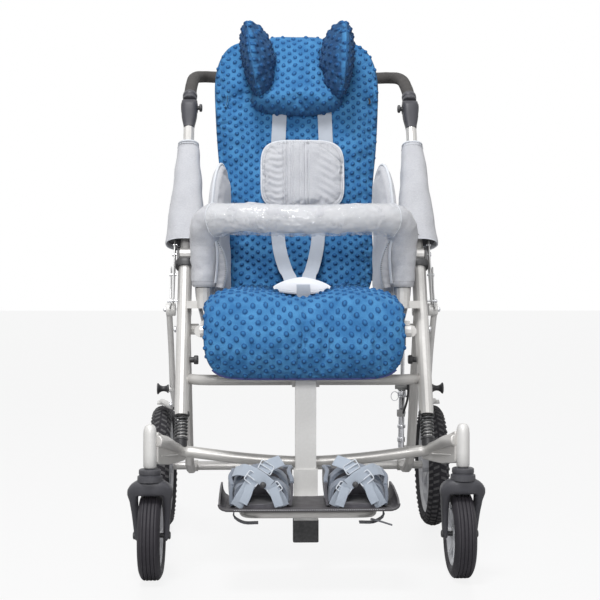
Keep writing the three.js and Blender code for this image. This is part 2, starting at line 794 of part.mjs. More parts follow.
function lockKnob(sign) {
  const shape = [
    [0, -2 * brakeArmRadius],
    [knobStemRadius, -2 * brakeArmRadius],
    [knobStemRadius, brakeArmRadius + 3 * runningGap + gap],
    [knobRadius * 0.75, brakeArmRadius + 3 * runningGap + gap],
    [knobRadius * 0.45, knobReach * 0.55],
    [knobRadius, knobReach * 0.9],
    [knobRadius, knobReach],
    [0, knobReach],
  ];
  return turned(shape, 12).rotateY((sign * Math.PI) / 2);
}

for (const [side, sign] of sides) {
  addPiece(stroller, `rear_leg_${side}`, rearLeg(sign), silver);
  addPiece(stroller, `brake_arm_${side}`, brakeArm(sign), silver);
  const knobPlace = onRearLeg(knobShare, sign * brakeArmX);
  addPiece(stroller, `lock_knob_${side}`, lockKnob(sign), blackPlastic, knobPlace);
}

// Handle frame: upper tubes with fabric sleeves, handle joints and the handlebar
const jointLength = 48; // from the joint's lower edge to the handle's pin
const coverSpace = 52; // from the sleeve's top to the joint
const jointBottom = handlePivotHeight - jointLength;
const coverBottom = 24;
const coverTop = jointBottom - coverSpace;
const coverTopHalf = 23.5;
const coverBottomHalfX = 46;
const coverBottomHalfY = 34;
const coverRingShares = [0, 0.08, 0.3, 0.65, 0.95, 1];
const jointHalfWidth = 20;
const jointHalfDepth = 17;
const cheekGapHalf = 9;
const buttonRadius = 8;
const buttonStem = 3.5;
const buttonTravel = 3;
const buttonReach = 10; // how far it stands out
const buttonDepth = 4; // how far its stem reaches into the joint
const handlebarRadius = 14.5;
const handlebarRearY = 400;
const handlebarZ = 1142;

function upperTube() {
  const reach = jointBottom + jointHalfWidth;
  const body = rod([0, 0, 0], [0, 0, reach], upperTubeRadius, 12);
  const knuckle = rod([-upperTubeRadius, 0, 0], [upperTubeRadius, 0, 0], foldKnuckleRadius - gap, 14);
  const hole = rod([-2 * upperTubeRadius, 0, 0], [2 * upperTubeRadius, 0, 0], foldPinRadius + runningGap);
  return cut(join(body, knuckle), hole);
}

// Fabric sleeve that flares out over the fold hinge.
function tubeCover() {
  const rings = coverRingShares.map((share) => {
    const flare = (1 - share) ** 0.9;
    const closing = share === 0 || share === 1 ? 0.94 : 1;
    const halfX = (coverTopHalf + (coverBottomHalfX - coverTopHalf) * flare) * closing;
    const halfY = (coverTopHalf + (coverBottomHalfY - coverTopHalf) * flare) * closing;
    const z = coverBottom + (coverTop - coverBottom) * share;
    return sectionPoints(halfX, halfY, 16, 2.3).map((p) => new THREE.Vector3(p.x, p.y, z));
  });
  const bore = rod([0, 0, coverBottom - overrun], [0, 0, coverTop + overrun], upperTubeRadius + gap, 12);
  return cut(skin(rings), bore);
}

// Moulded joint: a tapered socket on the tube, two cheeks and the pin of the handlebar.
function handleJoint(sign) {
  const waist = jointHalfWidth * 0.62;
  const levels = [
    [jointBottom, waist, jointHalfDepth * 0.8],
    [jointBottom + jointHalfWidth, jointHalfWidth * 0.9, jointHalfDepth],
    [handlePivotHeight, jointHalfWidth, jointHalfDepth],
  ];
  const body = skin(levels.map(([z, x, y]) =>
    sectionPoints(x, y, 12, 3).map((p) => new THREE.Vector3(p.x, p.y, z))));
  const round = rod([-jointHalfWidth, 0, handlePivotHeight], [jointHalfWidth, 0, handlePivotHeight],
    jointHalfDepth, 14);
  const slot = box(
    [-cheekGapHalf, -2 * jointHalfDepth, handlePivotHeight - jointHalfDepth - gap],
    [cheekGapHalf, 2 * jointHalfDepth, handlePivotHeight + 2 * jointHalfDepth],
  );
  const pinEnds = [-1, 1].map((end) => [end * jointHalfWidth, 0, handlePivotHeight]);
  const pin = rod(...pinEnds, pinRadius);
  const socket = rod([0, 0, jointBottom - overrun], [0, 0, jointBottom + jointHalfWidth + gap],
    upperTubeRadius + gap, 12);
  const face = -sign * jointHalfWidth;
  const holeEnd = face + sign * (buttonDepth + buttonTravel + gap);
  const hole = rod([holeEnd, 0, handlePivotHeight], [face - sign * overrun, 0, handlePivotHeight],
    buttonStem + gap, 8);
  return cut(join(cut(join(body, round), slot), pin), socket, hole);
}

function jointButton(sign) {
  const face = -sign * (jointHalfWidth + buttonTravel + gap);
  const inside = -sign * (jointHalfWidth - buttonDepth);
  const outside = -sign * (jointHalfWidth + buttonReach);
  return join(
    rod([face, 0, handlePivotHeight], [outside, 0, handlePivotHeight], buttonRadius, 12),
    rod([inside, 0, handlePivotHeight], [outside, 0, handlePivotHeight], buttonStem, 8),
  );
}

function handlebar() {
  const [y, z] = onMainAxis(handlePivotHeight);
  const half = frameTrack / 2;
  const back = handlebarRearY - y;
  const up = handlebarZ - z;
  const ends = (sign) => [
    [sign * half, y, z],
    [sign * half, y + back * 0.06, z + up * 0.22],
    [sign * half, y + back * 0.3, z + up * 0.55],
    [sign * half * 0.99, y + back * 0.66, z + up * 0.84],
    [sign * half * 0.92, y + back * 0.93, z + up * 0.98],
    [sign * half * 0.74, handlebarRearY, handlebarZ],
  ];
  const route = [...ends(-1), [0, handlebarRearY, handlebarZ], ...ends(1).reverse()];
  const bow = roundTube(route, handlebarRadius, 22, 8);
  const knuckle = cheekGapHalf - gap;
  const pieces = [-1, 1].map((sign) =>
    rod([sign * half - knuckle, y, z], [sign * half + knuckle, y, z], jointHalfDepth - gap, 14));
  const trims = [-1, 1].flatMap((sign) => [-1, 1].map((way) => {
    const inner = sign * half + way * knuckle;
    const outer = sign * half + way * 2 * jointHalfWidth;
    return box(
      [Math.min(inner, outer), y - 2 * jointHalfDepth, z - 2 * jointHalfDepth],
      [Math.max(inner, outer), y + 2 * jointHalfDepth, z + jointHalfDepth + gap],
    );
  }));
  const holes = [-1, 1].map((sign) =>
    rod([sign * half - jointHalfWidth, y, z], [sign * half + jointHalfWidth, y, z], pinRadius + gap));
  return cut(join(cut(bow, ...trims), ...pieces), ...holes);
}

for (const [side, sign] of sides) {
  const axis = new THREE.Group();
  axis.position.set((sign * frameTrack) / 2, foldPivotY, foldPivotZ);
  axis.rotation.x = -mainLean;
  stroller.add(axis);
  addPiece(axis, `upper_tube_${side}`, upperTube(), silver);
  addPiece(axis, `tube_cover_${side}`, tubeCover(), greyCloth);
  addPiece(axis, `handle_joint_${side}`, handleJoint(sign), darkPlastic);
  addPiece(axis, `joint_button_${side}`, jointButton(sign), blackPlastic);
}
addPiece(stroller, "handlebar", handlebar(), darkPlastic);

// Seat frame: pan, two rails, rear recline pins and front knee bracket
const armThickness = 6;
const armInset = 14;
const kneeCheek = 6;
const kneeRadius = 13;

function seatFrame() {
  const railX = seatRailTrack / 2;
  const panTop = seatRailZ + seatRailRadius + seatPanThickness;
  const panLow = panTop - seatPanThickness - overrun;
  const pan = box([-railX, seatPanFrontY, panLow], [railX, seatPanRearY, panTop]);
  const pieces = [pan];
  const cuts = [];
  for (const sign of [-1, 1]) {
    const x = sign * railX;
    const railRear = reclinePivotY + seatRailRadius;
    pieces.push(rod([x, seatRailFrontY, seatRailZ], [x, railRear, seatRailZ], seatRailRadius));
    const pinEnd = sign * (railX - seatRailRadius - 2 * runningGap - armThickness - overrun);
    pieces.push(rod([x, reclinePivotY, seatRailZ], [pinEnd, reclinePivotY, seatRailZ], pinRadius));
    const outer = sign * (railX + 2 * seatRailRadius);
    const inner = sign * (railX - seatRailRadius / 2 - overrun);
    cuts.push(rod([outer, seatPivotY, seatRailZ], [inner, seatPivotY, seatRailZ], pinRadius + gap));
  }
  // The front cross rail, and the two cheeks that carry the legrest below it.
  const railEnds = [-railX, railX].map((x) => [x, seatRailFrontY, seatRailZ]);
  pieces.push(rod(...railEnds, seatRailRadius));
  const cheekX = postWidth / 2 + runningGap;
  for (const sign of [-1, 1]) {
    const outline = [
      [kneeY - kneeRadius, seatRailZ],
      [kneeY - kneeRadius, kneeZ],
      [kneeY - kneeRadius / 2, kneeZ - kneeRadius],
      [kneeY + kneeRadius / 2, kneeZ - kneeRadius],
      [kneeY + kneeRadius, kneeZ],
      [kneeY + kneeRadius, panTop - seatPanThickness],
    ];
    const low = sign > 0 ? cheekX : -cheekX - kneeCheek;
    pieces.push(sidePlate(outline, low, kneeCheek));
  }
  const kneeEnd = cheekX + kneeCheek;
  pieces.push(rod([-kneeEnd, kneeY, kneeZ], [kneeEnd, kneeY, kneeZ], pinRadius));
  const bossZ = strutHead[1];
  const bossEnd = strutX - strutRodRadius - gap;
  pieces.push(rod([railX, strutHead[0], bossZ], [bossEnd, strutHead[0], bossZ], strutEyeRadius));
  return cut(join(...pieces), ...cuts);
}
addPiece(stroller, "seat_frame", seatFrame(), silver);

// Seat cushion: narrow between the side pads, wide in front, with its front hanging over the edge
const panTopZ = seatRailZ + seatRailRadius + seatPanThickness;
const seatPadHalfThickness = 28;
const seatPadInset = 14;
const seatPadHalfWidth = seatRailTrack / 2 - seatPadInset;
const seatPadRearShare = 1.35; // how much thicker the rear is
const seatPadRearY = 0;
const seatPadFrontY = -290;
const seatPadLowZ = 406;

function seatCushion() {
  const middle = panTopZ + gap + seatPadHalfThickness;
  const rearMiddle = panTopZ + gap + seatPadHalfThickness * seatPadRearShare;
  const bend = 2.2 * seatPadHalfThickness;
  const cushion = pad({
    path: [
      [seatPadRearY, rearMiddle],
      [(seatPadRearY + seatPadFrontY) / 2, (middle + rearMiddle) / 2],
      [seatPadFrontY + bend, middle],
      [seatPadFrontY + bend * 0.3, middle - bend * 0.28],
      [seatPadFrontY, middle - bend],
      [seatPadFrontY, seatPadLowZ],
    ],
    halfWidth: seatPadHalfWidth,
    halfThickness: seatPadHalfThickness,
    widthShares: [0.8, 0.8, 0.82, 0.97, 1, 0.98, 0.93],
    thickShares: [seatPadRearShare, seatPadRearShare, (1 + seatPadRearShare) / 2, 1, 0.95, 0.85],
    ends: 7,
    rings: 16,
    count: 14,
  });
  const rail = rod([-seatRailTrack, seatRailFrontY, seatRailZ], [seatRailTrack, seatRailFrontY, seatRailZ],
    seatRailRadius + gap);
  const pan = box(
    [-seatRailTrack, seatPanFrontY - gap, seatRailZ],
    [seatRailTrack, seatPanRearY + overrun, panTopZ + gap],
  );
  return cut(cushion, rail, pan);
}
addPiece(stroller, "seat_cushion", seatCushion(), blueCloth);

// Backrest: a board with two arms on the recline pins, its cushion, headrest and side wings
const backLean = THREE.MathUtils.degToRad(8.5);
const backFootY = 47;
const backFootZ = 586;
const backHeight = 600;
const backTuck = 26; // how far the cushion reaches down behind the seat
const backHalfThickness = 20;
const backInset = 22;
const backHalfWidth = seatRailTrack / 2 - backInset;
const boardThickness = 12;
const boardHalfWidth = backHalfWidth - backInset;
const backGroup = new THREE.Group();
backGroup.position.set(0, backFootY, backFootZ);
backGroup.rotation.x = -backLean;
stroller.add(backGroup);
// In this group Z runs up along the backrest from the foot of the cushion, and -Y is its front.

function backCushion() {
  return pad({
    path: [[0, -backTuck], [0, backHeight / 2], [0, backHeight]],
    halfWidth: backHalfWidth,
    halfThickness: backHalfThickness,
    widthShares: [0.82, 0.8, 0.81, 0.88, 0.955, 0.985, 1, 0.95],
    thickShares: [1, 0.96, 1, 1],
    ends: 7,
    rings: 12,
    count: 14,
  });
}

function backBoard() {
  const low = backHalfThickness + gap;
  const board = pad({
    path: [[low + boardThickness / 2, 0], [low + boardThickness / 2, backHeight * 0.95]],
    halfWidth: boardHalfWidth,
    halfThickness: boardThickness / 2,
    widthShares: [0.92, 0.9, 0.92, 1, 1, 0.98, 0.88],
    ends: 5,
    rings: 6,
    count: 12,
  });
  const outer = seatRailTrack / 2 - seatRailRadius - runningGap;
  const pivot = new THREE.Vector2(reclinePivotY - backFootY, seatRailZ - backFootZ);
  pivot.rotateAround(new THREE.Vector2(), backLean);
  const [pivotY, pivotZ] = pivot.toArray();
  const armTop = 3 * armInset;
  const pieces = [board];
  const cuts = [];
  for (const sign of [-1, 1]) {
    const x = sign > 0 ? outer - armThickness : -outer;
    const outline = [
      [pivotY - armInset, pivotZ],
      [pivotY, pivotZ - armInset],
      [pivotY + armInset, pivotZ],
      [low + boardThickness, armTop],
      [low, armTop],
    ];
    pieces.push(sidePlate(outline, x, armThickness));
    const inset = sign * boardHalfWidth * 0.7;
    const edge = sign * outer;
    pieces.push(box(
      [Math.min(inset, edge), low, armTop - armInset],
      [Math.max(inset, edge), low + boardThickness, armTop],
    ));
    const inside = [sign * (outer - 2 * armThickness), pivotY, pivotZ];
    const outside = [sign * (outer + armThickness), pivotY, pivotZ];
    cuts.push(rod(inside, outside, pinRadius + gap));
  }
  return cut(join(...pieces), ...cuts);
}

const headrestHeight = 189;
const headrestFoot = backHeight - headrestHeight;
const wingInset = 93; // from the cushion's edge to the wing's middle
const wingX = backHalfWidth - wingInset;
const headrestHalfWidth = wingX;
const headrestHalfThickness = 24;
const headrestPress = 0.7; // how far it sits into the cushion's crown
const wingHalfHeight = 88;
const wingHalfDepth = 56;
const wingHalfThickness = 28;
const wingTilt = THREE.MathUtils.degToRad(6);
const wingLift = 30; // from the headrest's foot to the wings'
const wingFoot = headrestFoot + wingLift;
const wingRingShares = [-1, -0.85, -0.5, 0, 0.5, 0.85, 1];
const wingRimShare = 0.02;

function headrest(extra = 0) {
  const y = headrestPress - backHalfThickness - headrestHalfThickness - gap;
  return pad({
    path: [[y, headrestFoot - extra], [y, headrestFoot + headrestHeight + extra]],
    halfWidth: headrestHalfWidth + extra,
    halfThickness: headrestHalfThickness + extra,
    widthShares: [1, 1, 0.95, 0.88, 0.86],
    thickShares: [1, 1, 0.9],
    ends: 4,
    rings: 8,
    count: 12,
  });
}

// Side wing of the headrest: a round pad on edge, leaning outwards.
function headWing(sign) {
  const rings = wingRingShares.map((share) => {
    const size = Math.sqrt(Math.max(1 - share ** 2, wingRimShare));
    return sectionPoints(wingHalfDepth * size, wingHalfHeight * size, 14, 2.2).map((p) =>
      new THREE.Vector3(wingHalfThickness * share, p.x, p.y));
  });
  const wing = skin(rings);
  wing.rotateY(sign * wingTilt);
  const wingY = -backHalfThickness - wingHalfDepth - 2 * runningGap;
  wing.translate(sign * wingX, wingY, wingFoot + wingHalfHeight);
  return cut(wing, headrest(gap));
}

const chestPadLow = 182;
const chestPadHeight = 159;
const chestPadHalfWidth = 94;
const chestPadHalfThickness = 9;
const strapWidth = 33;
const strapThickness = 3;
const strapX = 54;
const strapLift = 1;
const strapTop = headrestFoot;
const strapLow = 20;
const crotchHalfWidth = 68;

function chestPad() {
  const y = -backHalfThickness - strapLift - strapThickness - chestPadHalfThickness - gap;
  return pad({
    path: [[y, chestPadLow], [y, chestPadLow + chestPadHeight]],
    halfWidth: chestPadHalfWidth,
    halfThickness: chestPadHalfThickness,
    widthShares: [0.98, 1, 0.98],
    ends: 4,
    rings: 8,
    count: 12,
  });
}

// Two shoulder straps that run down the cushion and meet at the crotch pad.
function harness() {
  const y = -backHalfThickness - strapLift - strapThickness / 2;
  const strap = (sign) => {
    const route = [
      [strapX, y, strapTop],
      [strapX, y, (strapTop + strapLow) * 0.55],
      [strapX * 1.05, y, chestPadLow * 0.7],
      [strapX * 0.62, y - strapWidth * 0.6, strapLow + strapWidth],
      [strapX * 0.2, y - strapWidth, strapLow],
    ].map(([x, depth, z]) => new THREE.Vector3(sign * x, depth, z));
    const line = new THREE.CatmullRomCurve3(route, false, "centripetal");
    const rings = Array.from({ length: 13 }, (_, k) => {
      const centre = line.getPointAt(k / 12);
      const way = line.getTangentAt(k / 12);
      const across = new THREE.Vector3(way.z, 0, -way.x).normalize();
      const out = new THREE.Vector3().crossVectors(way, across).normalize();
      return [[1, 1], [-1, 1], [-1, -1], [1, -1]].map(([u, v]) => centre.clone()
        .addScaledVector(across, (u * strapWidth) / 2)
        .addScaledVector(out, (v * strapThickness) / 2));
    });
    return skin(rings);
  };
  const buckleY = y - strapWidth;
  const crotch = box(
    [-strapX * 0.7, buckleY - strapThickness * 1.5, strapLow - strapWidth / 3],
    [strapX * 0.7, buckleY + strapThickness * 1.5, strapLow + strapWidth / 3],
  );
  return join(strap(-1), strap(1), crotch);
}

addPiece(backGroup, "back_board", backBoard(), boardGrey);
addPiece(backGroup, "back_cushion", backCushion(), blueCloth);
addPiece(backGroup, "headrest", headrest(), blueCloth);
addPiece(backGroup, "chest_pad", chestPad(), greyCloth);
addPiece(backGroup, "harness", harness(), webbing);
for (const [side, sign] of sides) addPiece(backGroup, `head_wing_${side}`, headWing(sign), blueCloth);

// Side pads beside the hips, standing on the pan
const sidePadInset = 59;
const sidePadInnerX = seatRailTrack / 2 - sidePadInset; // of the rear edge
const sidePadSplay = THREE.MathUtils.degToRad(14.5); // the front edge stands further out
const sidePadThickness = 26;
const sidePadTop = 869;
const sidePadFrontY = -78;
const sidePadRearY = 20;
const sidePadShares = [
  [0.94, 0], [0.3, 0], [0.08, 0.12], [0, 0.35], [0.03, 0.55], [0.12, 0.75],
  [0.28, 0.9], [0.5, 0.985], [0.7, 1], [0.88, 0.96], [0.97, 0.85], [1, 0.5],
];
const sidePadRingShares = [[0, 0.93], [0.2, 0.99], [0.5, 1], [0.8, 0.99], [1, 0.93]];

function sidePad(sign) {
  const low = panTopZ + gap;
  const height = sidePadTop - low;
  const depth = sidePadRearY - sidePadFrontY;
  const outline = sidePadShares.map(([back, up]) => [sidePadFrontY + back * depth, low + up * height]);
  const middle = [(sidePadFrontY + sidePadRearY) / 2, (low + sidePadTop) / 2];
  const rings = sidePadRingShares.map(([across, size]) =>
    outline.map(([y, z]) => new THREE.Vector3(
      sign * (sidePadInnerX + across * sidePadThickness + (sidePadRearY - y) * Math.tan(sidePadSplay)),
      middle[0] + (y - middle[0]) * size,
      Math.max(middle[1] + (z - middle[1]) * size, low),
    )));
  return skin(rings);
}

// Safety bar: a bowed tube in two sockets, with a padded cover
const barZ = 738;
const barFrontY = -190;
const barCoverRadius = 31;
const barCornerInset = 46;
const barCornerX = barTrack / 2 - barCornerInset;
const barFootZ = socketBottom + socketFloor + gap;
const coverFootZ = socketTop + overrun;

function barRoute(footZ) {
  const x = barTrack / 2;
  const leg = (sign) => [
    [sign * x, barLegY, footZ],
    [sign * x, barLegY, (footZ + barZ) / 2],
    [sign * x, barLegY - barTubeRadius / 2, barZ - 3 * barTubeRadius],
    [sign * (x - barTubeRadius), barLegY - 2 * barTubeRadius, barZ - barTubeRadius / 2],
    [sign * barCornerX, barLegY - 4 * barTubeRadius, barZ],
  ];
  return [...leg(-1), [0, barFrontY, barZ - barTubeRadius / 3], ...leg(1).reverse()];
}

function safetyBarCover() {
  const cover = roundTube(barRoute(coverFootZ), barCoverRadius, 16, 10);
  return cut(cover, roundTube(barRoute(barFootZ), barTubeRadius + 3 * gap, 18, 8));
}

// Legrest: an upper post on the knee pin, a sliding sleeve and a folding footplate
const postBottom = 150;
const sleeveTop = 217;
const sleeveWall = 2.5;
const sleeveBottom = 69;
const plateHalfWidth = 167;
const plateThickness = 6;
const plateTopZ = 166;
const rimHeight = 26;
const plateRearY = -266;
const plateFrontY = -(rearAxleY + rearWheelRadius);
const frameTubeRadius = 9;
const frameHalfWidth = 125;

function legPost() {
  const halfX = postWidth / 2;
  const halfY = postDepth / 2;
  const bar = box([-halfX, kneeY - halfY, postBottom], [halfX, kneeY + halfY, kneeZ]);
  const head = rod([-halfX, kneeY, kneeZ], [halfX, kneeY, kneeZ], halfY, 12);
  const hole = rod([-2 * halfX, kneeY, kneeZ], [2 * halfX, kneeY, kneeZ], pinRadius + gap);
  return cut(join(bar, head), hole);
}

function legSleeve() {
  const halfX = postWidth / 2 + gap;
  const halfY = postDepth / 2 + gap;
  const outerX = halfX + sleeveWall;
  const outerY = halfY + sleeveWall;
  const whole = box([-outerX, kneeY - outerY, sleeveBottom], [outerX, kneeY + outerY, sleeveTop]);
  const hollow = box(
    [-halfX, kneeY - halfY, sleeveBottom + 2 * sleeveWall],
    [halfX, kneeY + halfY, sleeveTop + overrun],
  );
  const hingeZ = plateTopZ - plateThickness - frameTubeRadius;
  const hingeY = kneeY - outerY - frameTubeRadius;
  const lugs = [-1, 1].map((sign) =>
    rod([sign * outerX * 0.3, hingeY, hingeZ], [sign * outerX * 0.9, hingeY, hingeZ], frameTubeRadius));
  const webHalf = frameTubeRadius * 0.7;
  const webRearY = kneeY - outerY + sleeveWall / 2;
  const webs = [-1, 1].map((sign) => box(
    [Math.min(sign * 0.3, sign * 0.9) * outerX, hingeY, hingeZ - webHalf],
    [Math.max(sign * 0.3, sign * 0.9) * outerX, webRearY, hingeZ + webHalf],
  ));
  const pin = rod([-outerX * 1.4, hingeY, hingeZ], [outerX * 1.4, hingeY, hingeZ], pinRadius * 0.8);
  return join(cut(whole, hollow), ...lugs, ...webs, pin);
}

// Tray on a bent tube that turns on the sleeve's pin.
function footplate() {
  const low = plateTopZ - plateThickness;
  const outerX = postWidth / 2 + gap + sleeveWall;
  const hingeY = kneeY - postDepth / 2 - gap - sleeveWall - frameTubeRadius;
  const hingeZ = low - frameTubeRadius;
  const tray = box([-plateHalfWidth, plateFrontY, low], [plateHalfWidth, plateRearY, plateTopZ]);
  const rims = [-1, 1].map((sign) => {
    const outline = [
      [plateFrontY, low],
      [plateRearY, low],
      [plateRearY, plateTopZ + rimHeight],
      [(plateFrontY + plateRearY) / 2, plateTopZ + rimHeight / 2],
      [plateFrontY, plateTopZ],
    ];
    return sidePlate(outline, sign > 0 ? plateHalfWidth - plateThickness : -plateHalfWidth, plateThickness);
  });
  const z = hingeZ + 2 * runningGap;
  const front = plateFrontY + 5 * frameTubeRadius;
  const turn = 2 * frameTubeRadius;
  const ends = (sign) => [
    [sign * outerX * 1.3, hingeY, z],
    [sign * (frameHalfWidth - turn), hingeY, z],
    [sign * frameHalfWidth, hingeY - turn, z],
    [sign * frameHalfWidth, front + turn, z],
    [sign * (frameHalfWidth - turn), front, z],
  ];
  const frame = roundTube([...ends(-1), [0, front, z], ...ends(1).reverse()], frameTubeRadius, 18, 8);
  const clear = [-1, 1].map((sign) => rod(
    [sign * outerX * 1.1, hingeY, hingeZ],
    [sign * outerX * 1.6, hingeY, hingeZ],
    pinRadius * 0.8 + gap,
  ));
  const room = box([-outerX * 1.1, hingeY - frameTubeRadius - gap, low - 3 * frameTubeRadius],
    [outerX * 1.1, plateRearY + overrun, plateTopZ + overrun]);
  return cut(join(tray, ...rims, frame), room, ...clear);
}

// Open sandal that holds a foot on the tray: a low heel cup and an instep band.
const sandalHalfWidth = 60;
const sandalHeight = 96;
const sandalBand = 38;
const sandalWall = 5;
const sandalX = 92;
const sandalLength = 120;

function footStrap(sign) {
  const x = sign * sandalX;
  const low = plateTopZ + gap;
  const arch = (halfX, height, from, to) => {
    const rings = [from, to].map((y) => {
      const over = Array.from({ length: 9 }, (_, k) => {
        const angle = (k / 8) * Math.PI;
        const up = height * (0.45 + 0.55 * Math.sin(angle));
        return new THREE.Vector3(x + halfX * Math.cos(angle), y, low + up);
      });
      return [new THREE.Vector3(x + halfX, y, low), ...over, new THREE.Vector3(x - halfX, y, low)];
    });
    return skin(rings);
  };
  const front = plateFrontY + 3 * sandalWall;
  const bandFront = front + sandalBand;
  const bandRear = bandFront + sandalBand;
  const band = cut(
    arch(sandalHalfWidth, sandalHeight, bandFront, bandRear),
    arch(sandalHalfWidth - sandalWall, sandalHeight - sandalWall, bandFront - overrun, bandRear + overrun)
      .translate(0, 0, -gap),
  );
  const rear = front + sandalLength;
  const sole = box([x - sandalHalfWidth, front, low], [x + sandalHalfWidth, rear, low + sandalWall]);
  const heel = box(
    [x - sandalHalfWidth, rear - sandalWall, low],
    [x + sandalHalfWidth, rear, low + sandalHeight * 0.7],
  );
  return join(band, sole, heel);
}

addPiece(stroller, "leg_post", legPost(), silver);
addPiece(stroller, "leg_sleeve", legSleeve(), silver);
addPiece(stroller, "footplate", footplate(), darkPlastic);
addPiece(stroller, "safety_bar", roundTube(barRoute(barFootZ), barTubeRadius, 18, 8), silver);
addPiece(stroller, "safety_bar_cover", safetyBarCover(), greyCloth);
for (const [side, sign] of sides) {
  addPiece(stroller, `side_pad_${side}`, sidePad(sign), greyCloth);
  addPiece(stroller, `foot_strap_${side}`, footStrap(sign), webbing);
}

export default stroller;
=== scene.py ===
"""Special needs stroller: its looks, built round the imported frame.

Metres, +Z up. The child faces -Y, so the child's left is +X.
"""

import math

import bmesh
import bpy
import numpy as np
from mathutils.bvhtree import BVHTree
from mathutils import Matrix, Vector, noise


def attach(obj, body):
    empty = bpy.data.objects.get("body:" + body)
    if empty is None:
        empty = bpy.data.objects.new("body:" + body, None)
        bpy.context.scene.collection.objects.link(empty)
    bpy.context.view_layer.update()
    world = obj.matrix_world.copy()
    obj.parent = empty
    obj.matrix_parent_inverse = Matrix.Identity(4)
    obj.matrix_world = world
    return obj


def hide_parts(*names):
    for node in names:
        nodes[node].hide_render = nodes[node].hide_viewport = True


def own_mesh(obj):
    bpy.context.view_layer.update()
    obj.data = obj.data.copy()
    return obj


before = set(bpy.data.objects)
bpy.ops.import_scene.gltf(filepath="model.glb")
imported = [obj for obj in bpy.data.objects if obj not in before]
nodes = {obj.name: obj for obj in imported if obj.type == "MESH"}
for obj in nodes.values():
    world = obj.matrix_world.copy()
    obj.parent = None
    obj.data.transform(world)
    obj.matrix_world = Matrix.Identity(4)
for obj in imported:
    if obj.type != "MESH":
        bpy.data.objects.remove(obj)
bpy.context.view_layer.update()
SIDES = (("right", -1), ("left", 1))
scene = bpy.context.scene


# Colours and materials


def srgb(*rgb):
    """Linear colour from sRGB values of 0 to 255."""
    shares = [c / 255 for c in rgb]
    return tuple(c / 12.92 if c <= 0.04045 else ((c + 0.055) / 1.055) ** 2.4 for c in shares) + (1.0,)


def dimmed(color, share):
    """The colour made darker, or paler up to white, by a share."""
    return tuple(min(1.0, c * share) for c in color[:3]) + (1.0,)


class Look:
    """A procedural material built up from patterns in the object's own space, in metres."""

    def __init__(self, name, **settings):
        self.material = bpy.data.materials.new(name)
        self.material.use_nodes = True
        self.tree = self.material.node_tree
        self.shader = self.tree.nodes["Principled BSDF"]
        for socket, value in settings.items():
            self.shader.inputs[socket.replace("_", " ")].default_value = value
        self.place = self.node("ShaderNodeTexCoord").outputs["Object"]
        self.normal = None

    def node(self, kind, **settings):
        made = self.tree.nodes.new(kind)
        for key, value in settings.items():
            setattr(made, key, value)
        return made

    def link(self, source, target):
        self.tree.links.new(source, target)

    def stretched(self, stretch):
        mapping = self.node("ShaderNodeMapping")
        mapping.inputs["Scale"].default_value = stretch
        self.link(self.place, mapping.inputs["Vector"])
        return mapping.outputs["Vector"]

    def noise(self, size, detail=2.0, stretch=(1, 1, 1)):
        """Noise whose lumps are about as large as size."""
        made = self.node("ShaderNodeTexNoise")
        made.inputs["Scale"].default_value = 1 / size
        made.inputs["Detail"].default_value = detail
        self.link(self.stretched(stretch), made.inputs["Vector"])
        return made.outputs["Fac"]

    def waves(self, pitch, direction, distortion=0.0):
        """Bands a pitch apart along X, Y or Z."""
        made = self.node("ShaderNodeTexWave", bands_direction=direction)
        made.inputs["Scale"].default_value = math.pi / (10 * pitch)
        made.inputs["Distortion"].default_value = distortion
        self.link(self.place, made.inputs["Vector"])
        return made.outputs["Fac"]

    def attribute(self, name):
        return self.node("ShaderNodeAttribute", attribute_name=name).outputs["Fac"]

    def pointiness(self, low, high):
        out = self.node("ShaderNodeNewGeometry").outputs["Pointiness"]
        return self.scaled(out, low, high, 0, 1)

    def directions(self):
        """Parts of the surface's direction along the piece's own axes."""
        parts = self.node("ShaderNodeSeparateXYZ")
        self.link(self.node("ShaderNodeTexCoord").outputs["Normal"], parts.inputs[0])
        return tuple(parts.outputs)

    def scaled(self, value, low, high, to_low, to_high):
        made = self.node("ShaderNodeMapRange")
        for key, number in zip(("From Min", "From Max", "To Min", "To Max"), (low, high, to_low, to_high)):
            made.inputs[key].default_value = number
        self.link(value, made.inputs["Value"])
        return made.outputs["Result"]

    def maths(self, operation, a, b):
        made = self.node("ShaderNodeMath", operation=operation)
        for socket, value in zip(made.inputs, (a, b)):
            if isinstance(value, (int, float)):
                socket.default_value = value
            else:
                self.link(value, socket)
        return made.outputs["Value"]

    def mix(self, share, a, b):
        made = self.node("ShaderNodeMix", data_type="RGBA")
        for socket, value in ((made.inputs[0], share), (made.inputs[6], a), (made.inputs[7], b)):
            if isinstance(value, (int, float, tuple)):
                socket.default_value = value
            else:
                self.link(value, socket)
        return made.outputs[2]

    def color(self, value):
        self.link(value, self.shader.inputs["Base Color"])

    def roughness(self, value):
        self.link(value, self.shader.inputs["Roughness"])

    def bump(self, height, depth, strength=1.0):
        """Relief as deep as depth, laid over the relief before it."""
        made = self.node("ShaderNodeBump")
        made.inputs["Distance"].default_value = depth
        made.inputs["Strength"].default_value = strength
        self.link(height, made.inputs["Height"])
        if self.normal:
            self.link(self.normal, made.inputs["Normal"])
        self.normal = made.outputs["Normal"]
        self.link(self.normal, self.shader.inputs["Normal"])


